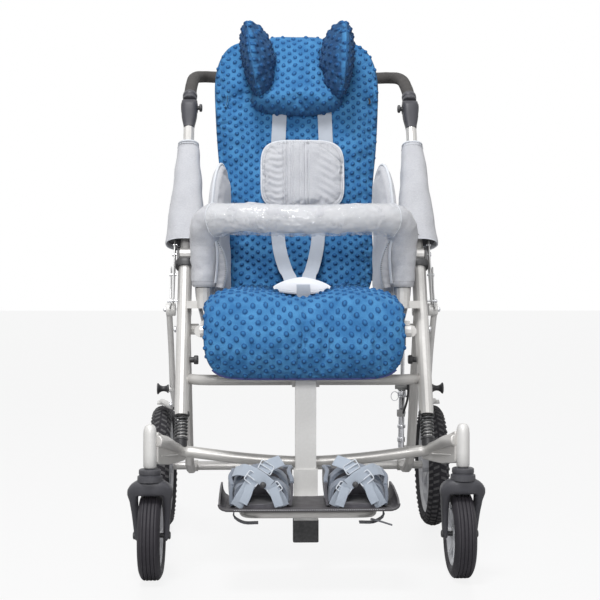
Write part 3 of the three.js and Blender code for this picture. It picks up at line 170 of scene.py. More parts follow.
def coated(name, color, roughness, metallic=0.0, grain=0.0006, depth=0.00002, vary=0.08, wear=0.25, **more):
    """Paint or moulded plastic: slow colour drift, fine grain and paler worn edges."""
    look = Look(name, Metallic=metallic, **more)
    drift = look.mix(look.noise(0.05, 3), dimmed(color, 1 - vary), dimmed(color, 1 + vary))
    worn = tuple(min(1.0, c + wear * (1 - c)) for c in color[:3]) + (1.0,)
    edge = look.maths("MULTIPLY", look.pointiness(0.52, 0.62), look.noise(0.006, 3))
    look.color(look.mix(edge, drift, worn))
    look.roughness(look.scaled(look.noise(0.02, 4), 0.3, 0.7, roughness * 0.88, roughness * 1.12))
    look.bump(look.noise(grain, 2), depth)
    return look.material


def woven(name, color, thread, fleck, sheen=0.25):
    """Woven cloth: threads across each other, flecks of a second shade and a soft sheen."""
    look = Look(name, Roughness=0.9, Sheen_Weight=sheen, Sheen_Roughness=0.5)
    streaks = look.mix(look.noise(thread * 1.6, 2, (1, 1, 0.25)), fleck, color)
    crossed = look.mix(look.noise(thread * 1.6, 2, (0.25, 0.25, 1)), fleck, color)
    patches = look.scaled(look.noise(thread * 2.5, 3), 0.45, 0.62, 0, 0.5)
    cloth = look.mix(0.5, look.mix(patches, streaks, fleck), crossed)
    shade = dimmed(color, 0.86)
    look.color(look.mix(look.scaled(look.noise(0.03, 3), 0.35, 0.65, 0, 0.3), cloth, shade))
    warp = look.maths("MULTIPLY", look.waves(thread, "X", 0.4), look.waves(thread, "Z", 0.4))
    look.bump(warp, thread * 0.3)
    look.bump(look.noise(0.012, 3), 0.0006)
    return look.material


def plush(name, low, high, share):
    """Blue plush: short pile in paler and darker patches, dots ringed with darker pile and painted crease
    shade, and painted shade where it faces sideways or down.
    """
    look = Look(name, Roughness=1.0, Sheen_Weight=0.18, Sheen_Roughness=0.4)
    look.shader.inputs["Sheen Tint"].default_value = srgb(110, 165, 215)
    pile = look.mix(look.scaled(look.noise(0.035, 4), 0.35, 0.65, 0, 1), srgb(48, 108, 160),
                    srgb(74, 138, 188))
    fibre = look.mix(look.scaled(look.noise(0.0012, 3), 0.3, 0.7, 0, 0.35), pile, srgb(34, 88, 140))
    # Dots: their flanks darken, partly the dots' own darker pile and partly painted crease shade, and their
    # crests turn back towards a pile colour.
    foot = look.scaled(look.attribute("dot"), 0.0, 0.40, 0, 0.90)
    crest = look.scaled(look.attribute("dot"), 0.64, 0.97, 0, 0.7)
    dot_pile_and_crease_shade = look.mix(crest, srgb(20, 70, 122), srgb(52, 118, 174))
    # Painted shade: darker where the surface faces sideways (low to high sets where, share how deep) or
    # downwards, by the piece's own axes.
    across, _, up = look.directions()
    side_shade = look.scaled(look.maths("ABSOLUTE", across, 0.0), low, high, 0, share)
    under = look.scaled(up, -0.30, -0.75, 0, 0.45)
    painted_shade = look.maths("MAXIMUM", side_shade, under)
    look.color(look.mix(painted_shade, look.mix(foot, fibre, dot_pile_and_crease_shade), srgb(10, 42, 82)))
    look.bump(look.noise(0.0009, 3), 0.0006)
    look.bump(look.noise(0.004, 2), 0.0006)
    return look.material


def polished(name, color, roughness):
    look = Look(name, Metallic=1.0)
    dull = dimmed(color, 0.82)
    look.color(look.mix(look.scaled(look.noise(0.012, 4), 0.4, 0.7, 0, 0.6), color, dull))
    look.roughness(look.scaled(look.noise(0.004, 4, (1, 1, 0.1)), 0.3, 0.7, roughness * 0.7,
                               roughness * 1.5))
    look.bump(look.noise(0.0015, 2, (1, 1, 0.2)), 0.00001)
    return look.material


def ribbed_webbing(name, color, pitch):
    """Narrow woven tape, with ribs across it and small flecks."""
    look = Look(name, Roughness=0.75, Sheen_Weight=0.2)
    shade = dimmed(color, 0.7)
    ribs = look.maths("MULTIPLY", look.waves(pitch, "Z", 0.3), look.waves(pitch * 0.8, "X", 0.3))
    look.color(look.mix(look.scaled(ribs, 0, 1, 0.35, 0), color, shade))
    look.bump(ribs, pitch * 0.25)
    look.bump(look.noise(0.01, 2), 0.0003)
    return look.material


def clear_film():
    look = Look("clear_film", Roughness=0.08, IOR=1.45, Alpha=0.20, Coat_Weight=1.0, Coat_Roughness=0.03)
    look.color(look.mix(look.noise(0.02, 2), srgb(225, 228, 233), srgb(255, 255, 255)))
    look.bump(look.noise(0.011, 2), 0.0045)
    return look.material


SILVER = coated("silver_paint", srgb(194, 192, 189), 0.38, 0.30, wear=0.3)
PALE_SILVER = coated("pale_silver_paint", srgb(212, 211, 209), 0.42, 0.15, wear=0.3)
GREY_STEEL = coated("grey_steel", srgb(150, 150, 150), 0.4, 0.5)
DARK = coated("dark_plastic", srgb(66, 66, 71), 0.46, grain=0.0012, depth=0.00008, wear=0.12,
              Specular_IOR_Level=0.3)
BLACK = coated("black_plastic", srgb(36, 36, 39), 0.48, grain=0.001, depth=0.00006, wear=0.12)
TRAY = coated("tray_plastic", srgb(66, 64, 67), 0.55, grain=0.0016, depth=0.0001, wear=0.12,
              Specular_IOR_Level=0.3)
FOAM = coated("foam_grip", srgb(74, 72, 71), 0.88, grain=0.0014, depth=0.0003, wear=0.1,
              Specular_IOR_Level=0.3)
CASTER_RUBBER = coated("caster_rubber", srgb(44, 42, 47), 0.62, grain=0.001, depth=0.00006, wear=0.12,
                       Specular_IOR_Level=0.3)
TYRE_RUBBER = coated("tyre_rubber", srgb(46, 45, 49), 0.85, grain=0.0015, depth=0.0001, wear=0.15,
                     Specular_IOR_Level=0.3)
RIM = coated("rim_silver", srgb(190, 191, 195), 0.42, 0.25)
CHROME = polished("bright_steel", srgb(225, 226, 230), 0.16)
SPRING = coated("spring_black", srgb(40, 41, 44), 0.4, 0.4)
GREY_CLOTH = woven("grey_canvas", srgb(214, 215, 219), 0.0009, srgb(166, 168, 175))
PIPING = woven("pale_piping", srgb(232, 236, 241), 0.0007, srgb(198, 201, 208))
LINING = woven("purple_lining", srgb(72, 84, 150), 0.0008, srgb(54, 64, 126))
BOARD_CLOTH = woven("board_cloth", srgb(62, 64, 70), 0.0009, srgb(40, 42, 48))
PALE_VINYL = coated("pale_vinyl", srgb(222, 224, 229), 0.5, grain=0.0012, depth=0.0001, wear=0.1)
WEBBING = ribbed_webbing("webbing", srgb(186, 193, 204), 0.0013)
SANDAL_TAPE = ribbed_webbing("sandal_tape", srgb(176, 186, 199), 0.0016)
SANDAL_CLOTH = woven("sandal_cloth", srgb(142, 150, 163), 0.0009, srgb(106, 114, 128))
MESH_CLOTH = woven("sandal_mesh", srgb(104, 102, 108), 0.0014, srgb(78, 77, 84))
THREAD = coated("thread", srgb(128, 130, 138), 0.8, grain=0.0008, depth=0.00002)
SANDAL_CLIP = coated("sandal_clip", srgb(196, 202, 210), 0.4, grain=0.001, depth=0.00004, wear=0.2)
DARK_CLOTH = woven("dark_grey_cloth", srgb(96, 98, 104), 0.0008, srgb(70, 72, 78))
# Two copies of one blue plush: the wings' copy paints deeper shade on their sideways faces.
BLUE = plush("plush_blue", 0.50, 0.92, 0.55)
WING_BLUE_SHADED = plush("plush_blue_wings_deeper_shade", 0.04, 0.52, 0.80)
FILM = clear_film()


# Mesh tools


def mesh_object(name, points, faces, sharp=None):
    data = bpy.data.meshes.new(name)
    data.from_pydata([tuple(p) for p in points], [], faces)
    data.validate()
    obj = bpy.data.objects.new(name, data)
    scene.collection.objects.link(obj)
    data.polygons.foreach_set("use_smooth", [True] * len(data.polygons))
    if sharp:
        data.set_sharp_from_angle(angle=math.radians(sharp))
    return obj


def piece(obj, look, body, replaces=()):
    """Gives a piece its material, the body that it rides on and the nodes that it stands for."""
    obj.data.materials.clear()
    obj.data.materials.append(look)
    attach(obj, body)
    if replaces:
        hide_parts(*replaces)
    return obj


def bevelled(obj, width, segments=2):
    modifier = obj.modifiers.new("soft_edges", "BEVEL")
    modifier.width = width
    modifier.segments = segments
    modifier.limit_method = "ANGLE"
    modifier.angle_limit = math.radians(38)
    modifier.harden_normals = False
    return obj


def curve_through(points, per=20):
    """Centripetal Catmull-Rom curve through points."""
    p = np.array(points, float)
    p = np.vstack([2 * p[0] - p[1], p, 2 * p[-1] - p[-2]])
    out = []
    for a, b, c, d in zip(p[:-3], p[1:-2], p[2:-1], p[3:]):
        t1 = np.linalg.norm(b - a) ** 0.5
        t2 = t1 + np.linalg.norm(c - b) ** 0.5
        t3 = t2 + np.linalg.norm(d - c) ** 0.5
        t = np.linspace(t1, t2, per, endpoint=False)[:, None]
        ab = (t1 - t) / t1 * a + t / t1 * b
        bc = (t2 - t) / (t2 - t1) * b + (t - t1) / (t2 - t1) * c
        cd = (t3 - t) / (t3 - t2) * c + (t - t2) / (t3 - t2) * d
        abc = (t2 - t) / t2 * ab + t / t2 * bc
        bcd = (t3 - t) / (t3 - t1) * bc + (t - t1) / (t3 - t1) * cd
        out.append((t2 - t) / (t2 - t1) * abc + (t - t1) / (t2 - t1) * bcd)
    return np.vstack(out + [p[-2:-1]])


def evened(points, count, closed=False):
    """The same line as count points at even spacing."""
    p = np.array(points, float)
    if closed:
        p = np.vstack([p, p[:1]])
    run = np.concatenate([[0], np.cumsum(np.linalg.norm(np.diff(p, axis=0), axis=1))])
    at = np.linspace(0, run[-1], count + 1 if closed else count)
    out = np.stack([np.interp(at, run, p[:, k]) for k in range(p.shape[1])], axis=1)
    return out[:-1] if closed else out


def table(shares, at):
    """Smooth value of evenly spaced shares at places from 0 to 1."""
    line = curve_through([(k / (len(shares) - 1), share) for k, share in enumerate(shares)])
    return np.interp(at, line[:, 0], line[:, 1])


def frames_along(path, across=None, closed=False):
    """Unit vectors across and out at each point of a path."""
    if closed:
        tangents = np.roll(path, -1, axis=0) - np.roll(path, 1, axis=0)
    else:
        tangents = np.gradient(path, axis=0)
    tangents /= np.linalg.norm(tangents, axis=1)[:, None]
    if across is None:
        start = np.cross(tangents[0], (0.31, 0.52, 0.79))
        sides = [start / np.linalg.norm(start)]
        for tangent in tangents[1:]:
            side = sides[-1] - tangent * (sides[-1] @ tangent)
            sides.append(side / np.linalg.norm(side))
        sides = np.array(sides)
    else:
        sides = np.broadcast_to(np.array(across, float), path.shape)
        sides = sides - tangents * np.sum(sides * tangents, axis=1)[:, None]
        sides = sides / np.linalg.norm(sides, axis=1)[:, None]
    return sides, np.cross(tangents, sides), tangents


def swept(path, section, closed=False, across=None):
    """Points and faces of a section (m, 2), or one for each point (n, m, 2), swept along a path."""
    path = np.array(path, float)
    sides, outs, _ = frames_along(path, across, closed)
    section = np.array(section, float)
    if section.ndim == 2:
        section = np.broadcast_to(section, (len(path), *section.shape))
    rings = path[:, None] + section[:, :, :1] * sides[:, None] + section[:, :, 1:] * outs[:, None]
    count, around = len(path), section.shape[1]
    faces = []
    for r in range(count if closed else count - 1):
        low, high = r * around, ((r + 1) % count) * around
        for k in range(around):
            nxt = (k + 1) % around
            faces.append([low + k, low + nxt, high + nxt, high + k])
    if not closed:
        faces.append(list(range(around))[::-1])
        faces.append([(count - 1) * around + k for k in range(around)])
    return rings.reshape(-1, 3), faces


def ring_section(half_x, half_y, count=20, power=2.0):
    angle = (np.arange(count) + 0.5) / count * 2 * math.pi
    c, s = np.cos(angle), np.sin(angle)
    return np.stack([half_x * np.sign(c) * abs(c) ** (2 / power),
                     half_y * np.sign(s) * abs(s) ** (2 / power)], 1)


def bar(points, radius, steps=None, sides=20, rounded=True, smooth=True):
    """Points and faces of a round bar; radius may be a function of the share of its length."""
    line = curve_through(points) if smooth and len(points) > 2 else np.array(points, float)
    steps = steps or max(2, int(np.linalg.norm(np.diff(line, axis=0), axis=1).sum() / 0.012))
    line = evened(line, steps)
    share = np.linspace(0, 1, steps)
    sizes = np.array([radius(u) for u in share]) if callable(radius) else np.full(steps, radius)
    if rounded:
        line, sizes = with_round_ends(line, sizes)
    return swept(line, sizes[:, None, None] * ring_section(1, 1, sides)[None])


def with_round_ends(line, sizes, share=0.25):
    """Adds small rounded edges to both ends of a bar without making it longer."""
    out_line, out_sizes = [], []
    for end, step in ((0, 1), (-1, -1)):
        inward = line[end + step] - line[end]
        inward /= np.linalg.norm(inward)
        edge = min(sizes[end] * share, np.linalg.norm(line[end + step] - line[end]) * 0.8)
        angles = (0, 0.35, 0.7, 1.0)
        points = [line[end] + inward * edge * (1 - math.sin(a * math.pi / 2)) for a in angles[::-1]]
        radii = [sizes[end] - edge * (1 - math.cos(a * math.pi / 2)) for a in angles[::-1]]
        out_line.append(points)
        out_sizes.append(radii)
    first_line, last_line = out_line
    first_sizes, last_sizes = out_sizes
    line = np.vstack([first_line, line[1:-1], last_line[::-1]])
    return line, np.concatenate([first_sizes, sizes[1:-1], last_sizes[::-1]])


def turned(profile, segments=48, axis="Z", place=(0, 0, 0)):
    """Points and faces of [radius, height] points turned about an axis; the ends close on the axis."""
    profile = [(max(r, 0.0), h) for r, h in profile]
    rings, faces = [], []
    for r, h in profile:
        for k in range(segments):
            angle = 2 * math.pi * k / segments
            rings.append((r * math.cos(angle), r * math.sin(angle), h))
    for j in range(len(profile) - 1):
        for k in range(segments):
            nxt = (k + 1) % segments
            faces.append([j * segments + k, j * segments + nxt, (j + 1) * segments + nxt,
                          (j + 1) * segments + k])
    points = np.array(rings)
    if axis == "X":
        points = points[:, [2, 0, 1]]
    elif axis == "Y":
        points = points[:, [1, 2, 0]]
    return points + np.array(place), faces


def closed_turned(profile, segments, axis, place):
    """Points and faces of a ring whose profile closes on itself."""
    points, faces = turned([*profile, profile[0]], segments, axis, place)
    count = len(profile) * segments
    return points[:count], [[i % count for i in face] for face in faces]


def prism(outline, low, high, axis="X"):
    """Points and faces of a flat outline of [a, b] points, made thick from low to high along an axis."""
    order = {"X": (2, 0, 1), "Y": (0, 2, 1), "Z": (0, 1, 2)}[axis]
    points = []
    for level in (low, high):
        for a, b in outline:
            triple = (a, b, level)
            points.append([triple[k] for k in order])
    n = len(outline)
    faces = [list(range(n))[::-1], [n + k for k in range(n)]]
    faces += [[k, (k + 1) % n, n + (k + 1) % n, n + k] for k in range(n)]
    return np.array(points), faces


def block(low, high):
    return prism([(low[0], low[1]), (high[0], low[1]), (high[0], high[1]), (low[0], high[1])],
                 low[2], high[2], "Z")


def moved(part, step):
    """The same points and faces, moved by a step."""
    points, faces = part
    return points + step, faces


def rounded_outline(points, radius, steps=5):
    """The outline with its corners rounded."""
    out = []
    p = [np.array(q, float) for q in points]
    for k, corner in enumerate(p):
        before, after = p[k - 1] - corner, p[(k + 1) % len(p)] - corner
        cut = min(radius, 0.45 * np.linalg.norm(before), 0.45 * np.linalg.norm(after))
        a = corner + before / np.linalg.norm(before) * cut
        b = corner + after / np.linalg.norm(after) * cut
        for j in range(steps + 1):
            u = j / steps
            out.append((1 - u) ** 2 * a + 2 * u * (1 - u) * corner + u * u * b)
    return out


def fixed(part):
    """Points and faces with every face turned outwards."""
    points, faces = part
    work = bmesh.new()
    verts = [work.verts.new(p) for p in points]
    for face in faces:
        try:
            work.faces.new([verts[i] for i in dict.fromkeys(face)])
        except ValueError:
            continue
    bmesh.ops.remove_doubles(work, verts=work.verts, dist=1e-6)
    bmesh.ops.recalc_face_normals(work, faces=work.faces)
    work.verts.index_update()
    out = [tuple(v.co) for v in work.verts], [[v.index for v in f.verts] for f in work.faces]
    work.free()
    return out


def solid_piece(name, parts, look, body, replaces=(), bevel=None, sharp=42):
    """A hard piece from one or more closed parts."""
    points, faces = [], []
    for part in parts:
        part_points, part_faces = fixed(part)
        faces += [[i + len(points) for i in face] for face in part_faces]
        points += part_points
    obj = mesh_object(name, points, faces, sharp)
    if bevel:
        bevelled(obj, bevel)
    return piece(obj, look, body, replaces)


# Places on the frame

MAIN_LEAN = math.radians(21.7)
FOLD_PIVOT = (-0.029, 0.666)
TUBE_X = 0.260
BACK_LEAN = math.radians(8.5)
BACK_FOOT = (0.047, 0.586)


def on_axis(sign, points):
    """Places given beside and along a leaning main tube, from the fold pivot, in the row frame."""
    p = np.array(points, float).reshape(-1, 3)
    c, s = math.cos(MAIN_LEAN), math.sin(MAIN_LEAN)
    y = FOLD_PIVOT[0] + p[:, 1] * c + p[:, 2] * s
    z = FOLD_PIVOT[1] - p[:, 1] * s + p[:, 2] * c
    return np.stack([sign * TUBE_X + p[:, 0], y, z], 1)


def on_back(across, out, up):
    """Places across, in front of and up along the backrest, in the row frame."""
    c, s = math.cos(BACK_LEAN), math.sin(BACK_LEAN)
    y = BACK_FOOT[0] - out * c + up * s
    z = BACK_FOOT[1] + out * s + up * c
    return np.stack(np.broadcast_arrays(across, y, z), -1)


def axis_part(sign, part):
    points, faces = part
    return on_axis(sign, points), faces


# Padded pieces

DOT_PITCH = (0.0265, 0.0196)
DOT_RADIUS = 0.0048
DOT_HEIGHT = 0.0038


def square_grid(count_u, count_v, corner):
    """Grid from -1 to 1 drawn in to round corners, and the plain grid that it came from."""
    spread = [0.62 * q + 0.38 * np.sin(q * math.pi / 2)
              for q in (np.linspace(-1, 1, count_u), np.linspace(-1, 1, count_v))]
    s, t = np.meshgrid(*spread, indexing="ij")
    rim = np.maximum(abs(s), abs(t))
    norm = (abs(s) ** corner + abs(t) ** corner) ** (1 / corner)
    draw = np.divide(rim, norm, out=np.ones_like(rim), where=norm > 0)
    return s * draw, t * draw, s, t


def crown(s, t, power):
    """Height share of a pad: full in the middle, round at the rim."""
    return np.sqrt(np.clip((1 - abs(s) ** power) * (1 - abs(t) ** power), 0, 1))


def refined(grid, times):
    """Catmull-Rom refinement of a grid of values along both axes."""
    for axis in (0, 1):
        p = np.moveaxis(grid, axis, 0)
        p = np.concatenate([2 * p[:1] - p[1:2], p, 2 * p[-1:] - p[-2:-1]])
        a, b, c, d = p[:-3], p[1:-2], p[2:-1], p[3:]
        rows = []
        for k in range(times):
            u = k / times
            square, cube = 2 * a - 5 * b + 4 * c - d, 3 * b - a - 3 * c + d
            rows.append(0.5 * (2 * b + (c - a) * u + square * u**2 + cube * u**3))
        fine = np.stack(rows, 1).reshape(-1, *p.shape[1:])
        grid = np.moveaxis(np.concatenate([fine, p[-2:-1]]), 0, axis)
    return grid


def grid_mesh(name, front, back):
    """Closed mesh of two grids of points that share their rim."""
    count_u, count_v = front.shape[:2]
    first = np.arange(count_u * count_v).reshape(count_u, count_v)
    second = first.copy()
    inner = (count_u - 2) * (count_v - 2)
    second[1:-1, 1:-1] = count_u * count_v + np.arange(inner).reshape(count_u - 2, count_v - 2)
    points = np.concatenate([front.reshape(-1, 3), back[1:-1, 1:-1].reshape(-1, 3)])
    faces = []
    for index, turn in ((first, 1), (second, -1)):
        quads = np.stack([index[:-1, :-1], index[1:, :-1], index[1:, 1:], index[:-1, 1:]], -1).reshape(-1, 4)
        faces.append(quads[:, ::turn])
    obj = mesh_object(name, points, np.concatenate(faces).tolist())
    work = bmesh.new()
    work.from_mesh(obj.data)
    bmesh.ops.recalc_face_normals(work, faces=work.faces)
    work.to_mesh(obj.data)
    work.free()
    return obj


def inflated(front, back, pressure=4.0, slack=0.03, cap=0.010, steps=16):
    """The front of a pad after its cloth has been blown up, held by its rim and back."""
    obj = grid_mesh("cloth_work", front, back)
    count = front.shape[0] * front.shape[1]
    free = np.zeros(front.shape[:2], bool)
    free[1:-1, 1:-1] = True
    held = obj.vertex_groups.new(name="held")
    loose = set(np.flatnonzero(free.ravel()).tolist())
    held.add([i for i in range(len(obj.data.vertices)) if i not in loose], 1.0, "REPLACE")
    cloth = obj.modifiers.new("cloth", "CLOTH")
    settings = cloth.settings
    settings.quality = 5
    settings.mass = 0.3
    settings.tension_stiffness = settings.compression_stiffness = 15
    settings.shear_stiffness = 5
    settings.bending_stiffness = 0.4
    settings.use_pressure = True
    settings.uniform_pressure_force = pressure
    settings.shrink_min = -slack
    settings.effector_weights.gravity = 0
    settings.vertex_group_mass = "held"
    cloth.point_cache.frame_end = steps
    for step in range(1, steps + 1):
        scene.frame_set(step)
    result = obj.evaluated_get(bpy.context.evaluated_depsgraph_get()).to_mesh()
    moved = np.empty(len(result.vertices) * 3)
    result.vertices.foreach_get("co", moved)
    moved = moved.reshape(-1, 3)[:count].reshape(front.shape)
    scene.frame_set(1)
    bpy.data.objects.remove(obj)
    shift = moved - front
    size = np.linalg.norm(shift, axis=2, keepdims=True)
    return front + shift * np.minimum(1, cap / np.maximum(size, 1e-9))


def normals_of(grid):
    along_u, along_v = np.gradient(grid, axis=(0, 1))
    normal = np.cross(along_u, along_v)
    return normal / np.maximum(np.linalg.norm(normal, axis=2, keepdims=True), 1e-12)


def lumps(grid, size, seed):
    """Smooth noise at each point of a grid."""
    flat = grid.reshape(-1, 3)
    shift = Vector((seed * 7.3, seed * 3.1, seed * 5.7))
    values = [noise.noise(Vector(p) / size + shift) for p in flat]
    return np.array(values).reshape(grid.shape[:2])


def dot_heights(u, v):
    """Share of the height of the raised dots at flat places on the cloth."""
    nearest = np.full(u.shape, 1.0)
    for shift in (0.0, 0.5):
        du = u / DOT_PITCH[0] + shift
        dv = v / DOT_PITCH[1] + shift
        du = (du - np.round(du)) * DOT_PITCH[0]
        dv = (dv - np.round(dv)) * DOT_PITCH[1]
        nearest = np.minimum(nearest, np.hypot(du, dv))
    return np.clip(1 - (nearest / DOT_RADIUS) ** 2, 0, 1)


def padded_piece(name, front, back, flat, body, look, replaces, dots=False, times=3,
                 sides="front", grooves=None):
    """A stuffed piece from its two coarse grids: refined, with dots or grooves in its cloth."""
    fine_front, fine_back = refined(front, times), refined(back, times)
    fine_flat = refined(flat, times)
    u, v = fine_flat[..., 0], fine_flat[..., 1]
    rise = np.zeros(u.shape)
    if dots:
        bend = refined(lumps(front, 0.06, 3)[..., None], times)[..., 0]
        rise = dot_heights(u + bend * 0.006, v + bend * 0.005)
        rise[[0, -1], :] = 0
        rise[:, [0, -1]] = 0
    shaped = []
    for grid, sign in ((fine_front, 1), (fine_back, -1)):
        normal = normals_of(grid)
        if np.sum(normal * (fine_front - fine_back)) * sign < 0:
            normal = -normal
        lift = np.zeros(u.shape)
        if sign > 0 or sides == "both":
            lift = DOT_HEIGHT * rise**0.8
            if grooves is not None:
                lift = lift - grooves(u, v)
        lift[[0, -1], :] = 0
        lift[:, [0, -1]] = 0
        shaped.append(grid + normal * lift[..., None])
    obj = grid_mesh(name, *shaped)
    attribute = obj.data.attributes.new("dot", "FLOAT", "POINT")
    inner = rise[1:-1, 1:-1].ravel() if sides == "both" else np.zeros(rise[1:-1, 1:-1].size)
    attribute.data.foreach_set("value", np.concatenate([rise.ravel(), inner]).astype(np.float32) ** 0.5)
    return piece(obj, look, body, replaces)


def rim_of(grid):
    """The rim of a grid as one closed line."""
    return np.concatenate([grid[:, 0], grid[-1, 1:], grid[-2::-1, -1], grid[0, -2:0:-1]])


def piping(name, grid, radius, look, body, count=None):
    """Corded edge sewn round the rim of a pad."""
    line = rim_of(grid)
    length = np.linalg.norm(np.diff(line, axis=0), axis=1).sum()
    line = evened(line, count or int(length / 0.006), closed=True)
    points, faces = swept(line, ring_section(radius, radius, 10), closed=True)
    return piece(mesh_object(name, points, faces), look, body)


def stitches(name, line, look, body, slot, closed=False, stitch=0.0026, gap=0.0016, radius=0.00042):
    """Short threads one after another along a line."""
    line = np.asarray(line, float)
    if closed:
        line = np.vstack([line, line[:1]])
    run = np.concatenate([[0], np.cumsum(np.linalg.norm(np.diff(line, axis=0), axis=1))])
    parts = []
    at = 0.0
    while at + stitch < run[-1]:
        points = [[np.interp(at + stitch * k / 3, run, line[:, c]) for c in range(3)] for k in range(4)]
        parts.append(swept(points, ring_section(radius, radius, 6)))
        at += stitch + gap
    return solid_piece(name, parts, look, body, sharp=80)


def inset_ring(front, steps, lift):
    """Closed line on the front face of a padded grid, a few cells in from its rim."""
    raised = front + normals_of(front) * lift
    return rim_of(raised[steps:-steps, steps:-steps])


# Backrest, headrest and wings

BACK_X = -0.008
BACK_HALF_WIDTH = 0.194
BACK_HALF_THICKNESS = 0.020
BACK_LOW, BACK_TOP = -0.026, 0.600
BACK_WIDTHS = (0.90, 0.895, 0.89, 0.91, 0.955, 0.985, 1.0, 0.95)


def back_cushion():
    across, up, s, t = square_grid(58, 92, 7)
    share = (up + 1) / 2
    width = BACK_HALF_WIDTH * table(BACK_WIDTHS, share)
    u = across * width
    v = BACK_LOW + (BACK_TOP - BACK_LOW) * share
    body = crown(s, t, 7)
    sag = 0.004 * (1 - s**2) * np.cos(t * 2.2)
    x = u + BACK_X * np.clip(share * 3, 0, 1)
    front = on_back(x, BACK_HALF_THICKNESS * body + sag * body, v)
    back = on_back(x, -BACK_HALF_THICKNESS * body, v)
    fold = lumps(front, 0.05, 1) * 0.0035 + lumps(front, 0.11, 2) * 0.005
    edge = np.clip(abs(u) / BACK_HALF_WIDTH * 1.9 - 0.9, 0, 1)
    pull = np.sin((v + 0.25 * abs(u)) * 330) * np.exp(-(((v - 0.405) / 0.045) ** 2)) * 0.0024 * edge
    tuck = 0.008 * np.exp(-(((v - 0.432 + 0.35 * (0.16 - abs(u))) / 0.013) ** 2)) * np.clip(edge * 1.6, 0, 1)
    front = front + normals_of(front) * ((fold + tuck - pull) * np.minimum(1, body))[..., None] * -1
    front = inflated(front, back, slack=0.025, cap=0.006)
    flat = np.stack([u, v], -1)
    return padded_piece("back_pad", front, back, flat, "backrest", BLUE, ["back_cushion"],
                        dots=True, times=4)


def back_slits(surface):
    """Sewn slits for the belts near both edges of the cover, with painted shade as a dark strip inside each.
    """
    lips, slit_shade = [], []
    for x, low, high, lean, width in ((-0.176, 0.430, 0.458, 0.20, 0.0012),
                                      (0.162, 0.441, 0.453, -0.10, 0.0050)):
        points = []
        for k in range(7):
            up = low + (high - low) * k / 6
            bow = 0.0020 * math.sin(math.pi * k / 6)
            points.append(resting(surface, x + lean * (up - low) + bow, up, -0.0012))
        # Painted shade: a dark strip of cloth inside each slit.
        slit_shade.append(tape(points, width, 0.0030))
        for end in (-1, 1):
            lips.append(tape([p + (end * (width / 2 + 0.0012), 0.0006, 0) for p in points], 0.0028, 0.0036))
    solid_piece("back_slit_edges", lips, BLUE, "backrest", sharp=80)
    solid_piece("back_slits", slit_shade, BOARD_CLOTH, "backrest", sharp=80)


def surface_of(obj):
    return BVHTree.FromPolygons([v.co for v in obj.data.vertices], [p.vertices for p in obj.data.polygons])


def resting(surface, x, up, gap):
    """Point that lies in front of the backrest's cloth, at a place across and up it."""
    best = None
    for shift in (-0.012, 0, 0.012):
        for rise in (-0.008, 0, 0.008):
            start = Vector(on_back(x + shift, 0.30, up + rise))
            way = Vector(on_back(x + shift, 0.0, up + rise)) - start
            hit = surface.ray_cast(start, way.normalized())
            if hit[0] is not None:
                out = 0.30 - (hit[0] - start).length
                best = out if best is None else max(best, out)
    return np.array(on_back(x, (BACK_HALF_THICKNESS if best is None else best) + gap, up))


HEAD_OUTLINE = ((-0.010, 0.406), (-0.062, 0.409), (-0.099, 0.419), (-0.115, 0.440), (-0.108, 0.470),
                (-0.092, 0.510), (-0.086, 0.555), (-0.084, 0.588), (-0.066, 0.598), (-0.010, 0.600),
                (0.046, 0.598), (0.064, 0.588), (0.066, 0.555), (0.072, 0.510), (0.088, 0.470),
                (0.096, 0.440), (0.080, 0.419), (0.042, 0.409))


def head_pillow():
    u, v, rim = outline_grid(HEAD_OUTLINE, 40, 36)
    body = np.sqrt(np.clip(1 - rim**3.4, 0, 1))
    thick = table((0.042, 0.045, 0.036, 0.028, 0.024, 0.020, 0.017), np.clip((v - 0.41) / 0.19, 0, 1))
    dip = 0.012 * np.exp(-(((v - 0.478) / 0.018) ** 2)) * (1 - np.exp(-(((u + 0.01) / 0.05) ** 2)))
    front = on_back(u, 0.026 + (thick * 1.25 - dip) * body, v - 0.004 * body)
    back = on_back(u, 0.026 - 0.010 * body, v)
    soft = (lumps(front, 0.04, 5) * 0.003 + lumps(front, 0.08, 6) * 0.003) * body
    front = front - normals_of(front) * soft[..., None]
    front = inflated(front, back, slack=0.03, cap=0.006)
    padded_piece("head_pillow", front, back, np.stack([u, v], -1), "backrest", BLUE,
                 ["headrest"], dots=True)


WING_HALF_DEPTH, WING_HALF_HEIGHT = 0.054, 0.089
WING_OUT, WING_UP = 0.074, 0.528
WING_YAW = math.radians(8)
WINGS = {"right": (0.107, math.radians(8)), "left": (0.093, math.radians(3))}


def head_wing(side, sign):
    place, tilt = WINGS[side]
    across, up, s, t = square_grid(30, 44, 2.2)
    u, v = across * WING_HALF_DEPTH, up * WING_HALF_HEIGHT
    body = crown(s, t, 2.2)
    half = 0.034 * (1 - 0.30 * across) * (1 + 0.14 * up - 0.10 * up**2)
    grids = []
    for face, share in ((-1, 1.32), (1, 0.80)):
        w = face * half * share * body
        x = place + (u + 0.010) * math.sin(WING_YAW) + v * math.sin(tilt) + w
        grids.append(on_back(sign * x, WING_OUT + u * math.cos(WING_YAW), WING_UP + v * math.cos(tilt)))
    grids[0] = grids[0] - normals_of(grids[0]) * (lumps(grids[0], 0.03, 21 + sign) * 0.003 * body)[..., None]
    grids[0] = inflated(grids[0], grids[1], slack=0.02, cap=0.004)
    padded_piece(f"head_wing_pad_{side}", grids[0], grids[1], np.stack([u, v], -1), "backrest",
                 WING_BLUE_SHADED, [f"head_wing_{side}"], dots=True, sides="both")
    piping(f"head_wing_seam_{side}", grids[0], 0.0014, WING_BLUE_SHADED, "backrest")


# Seat cushion

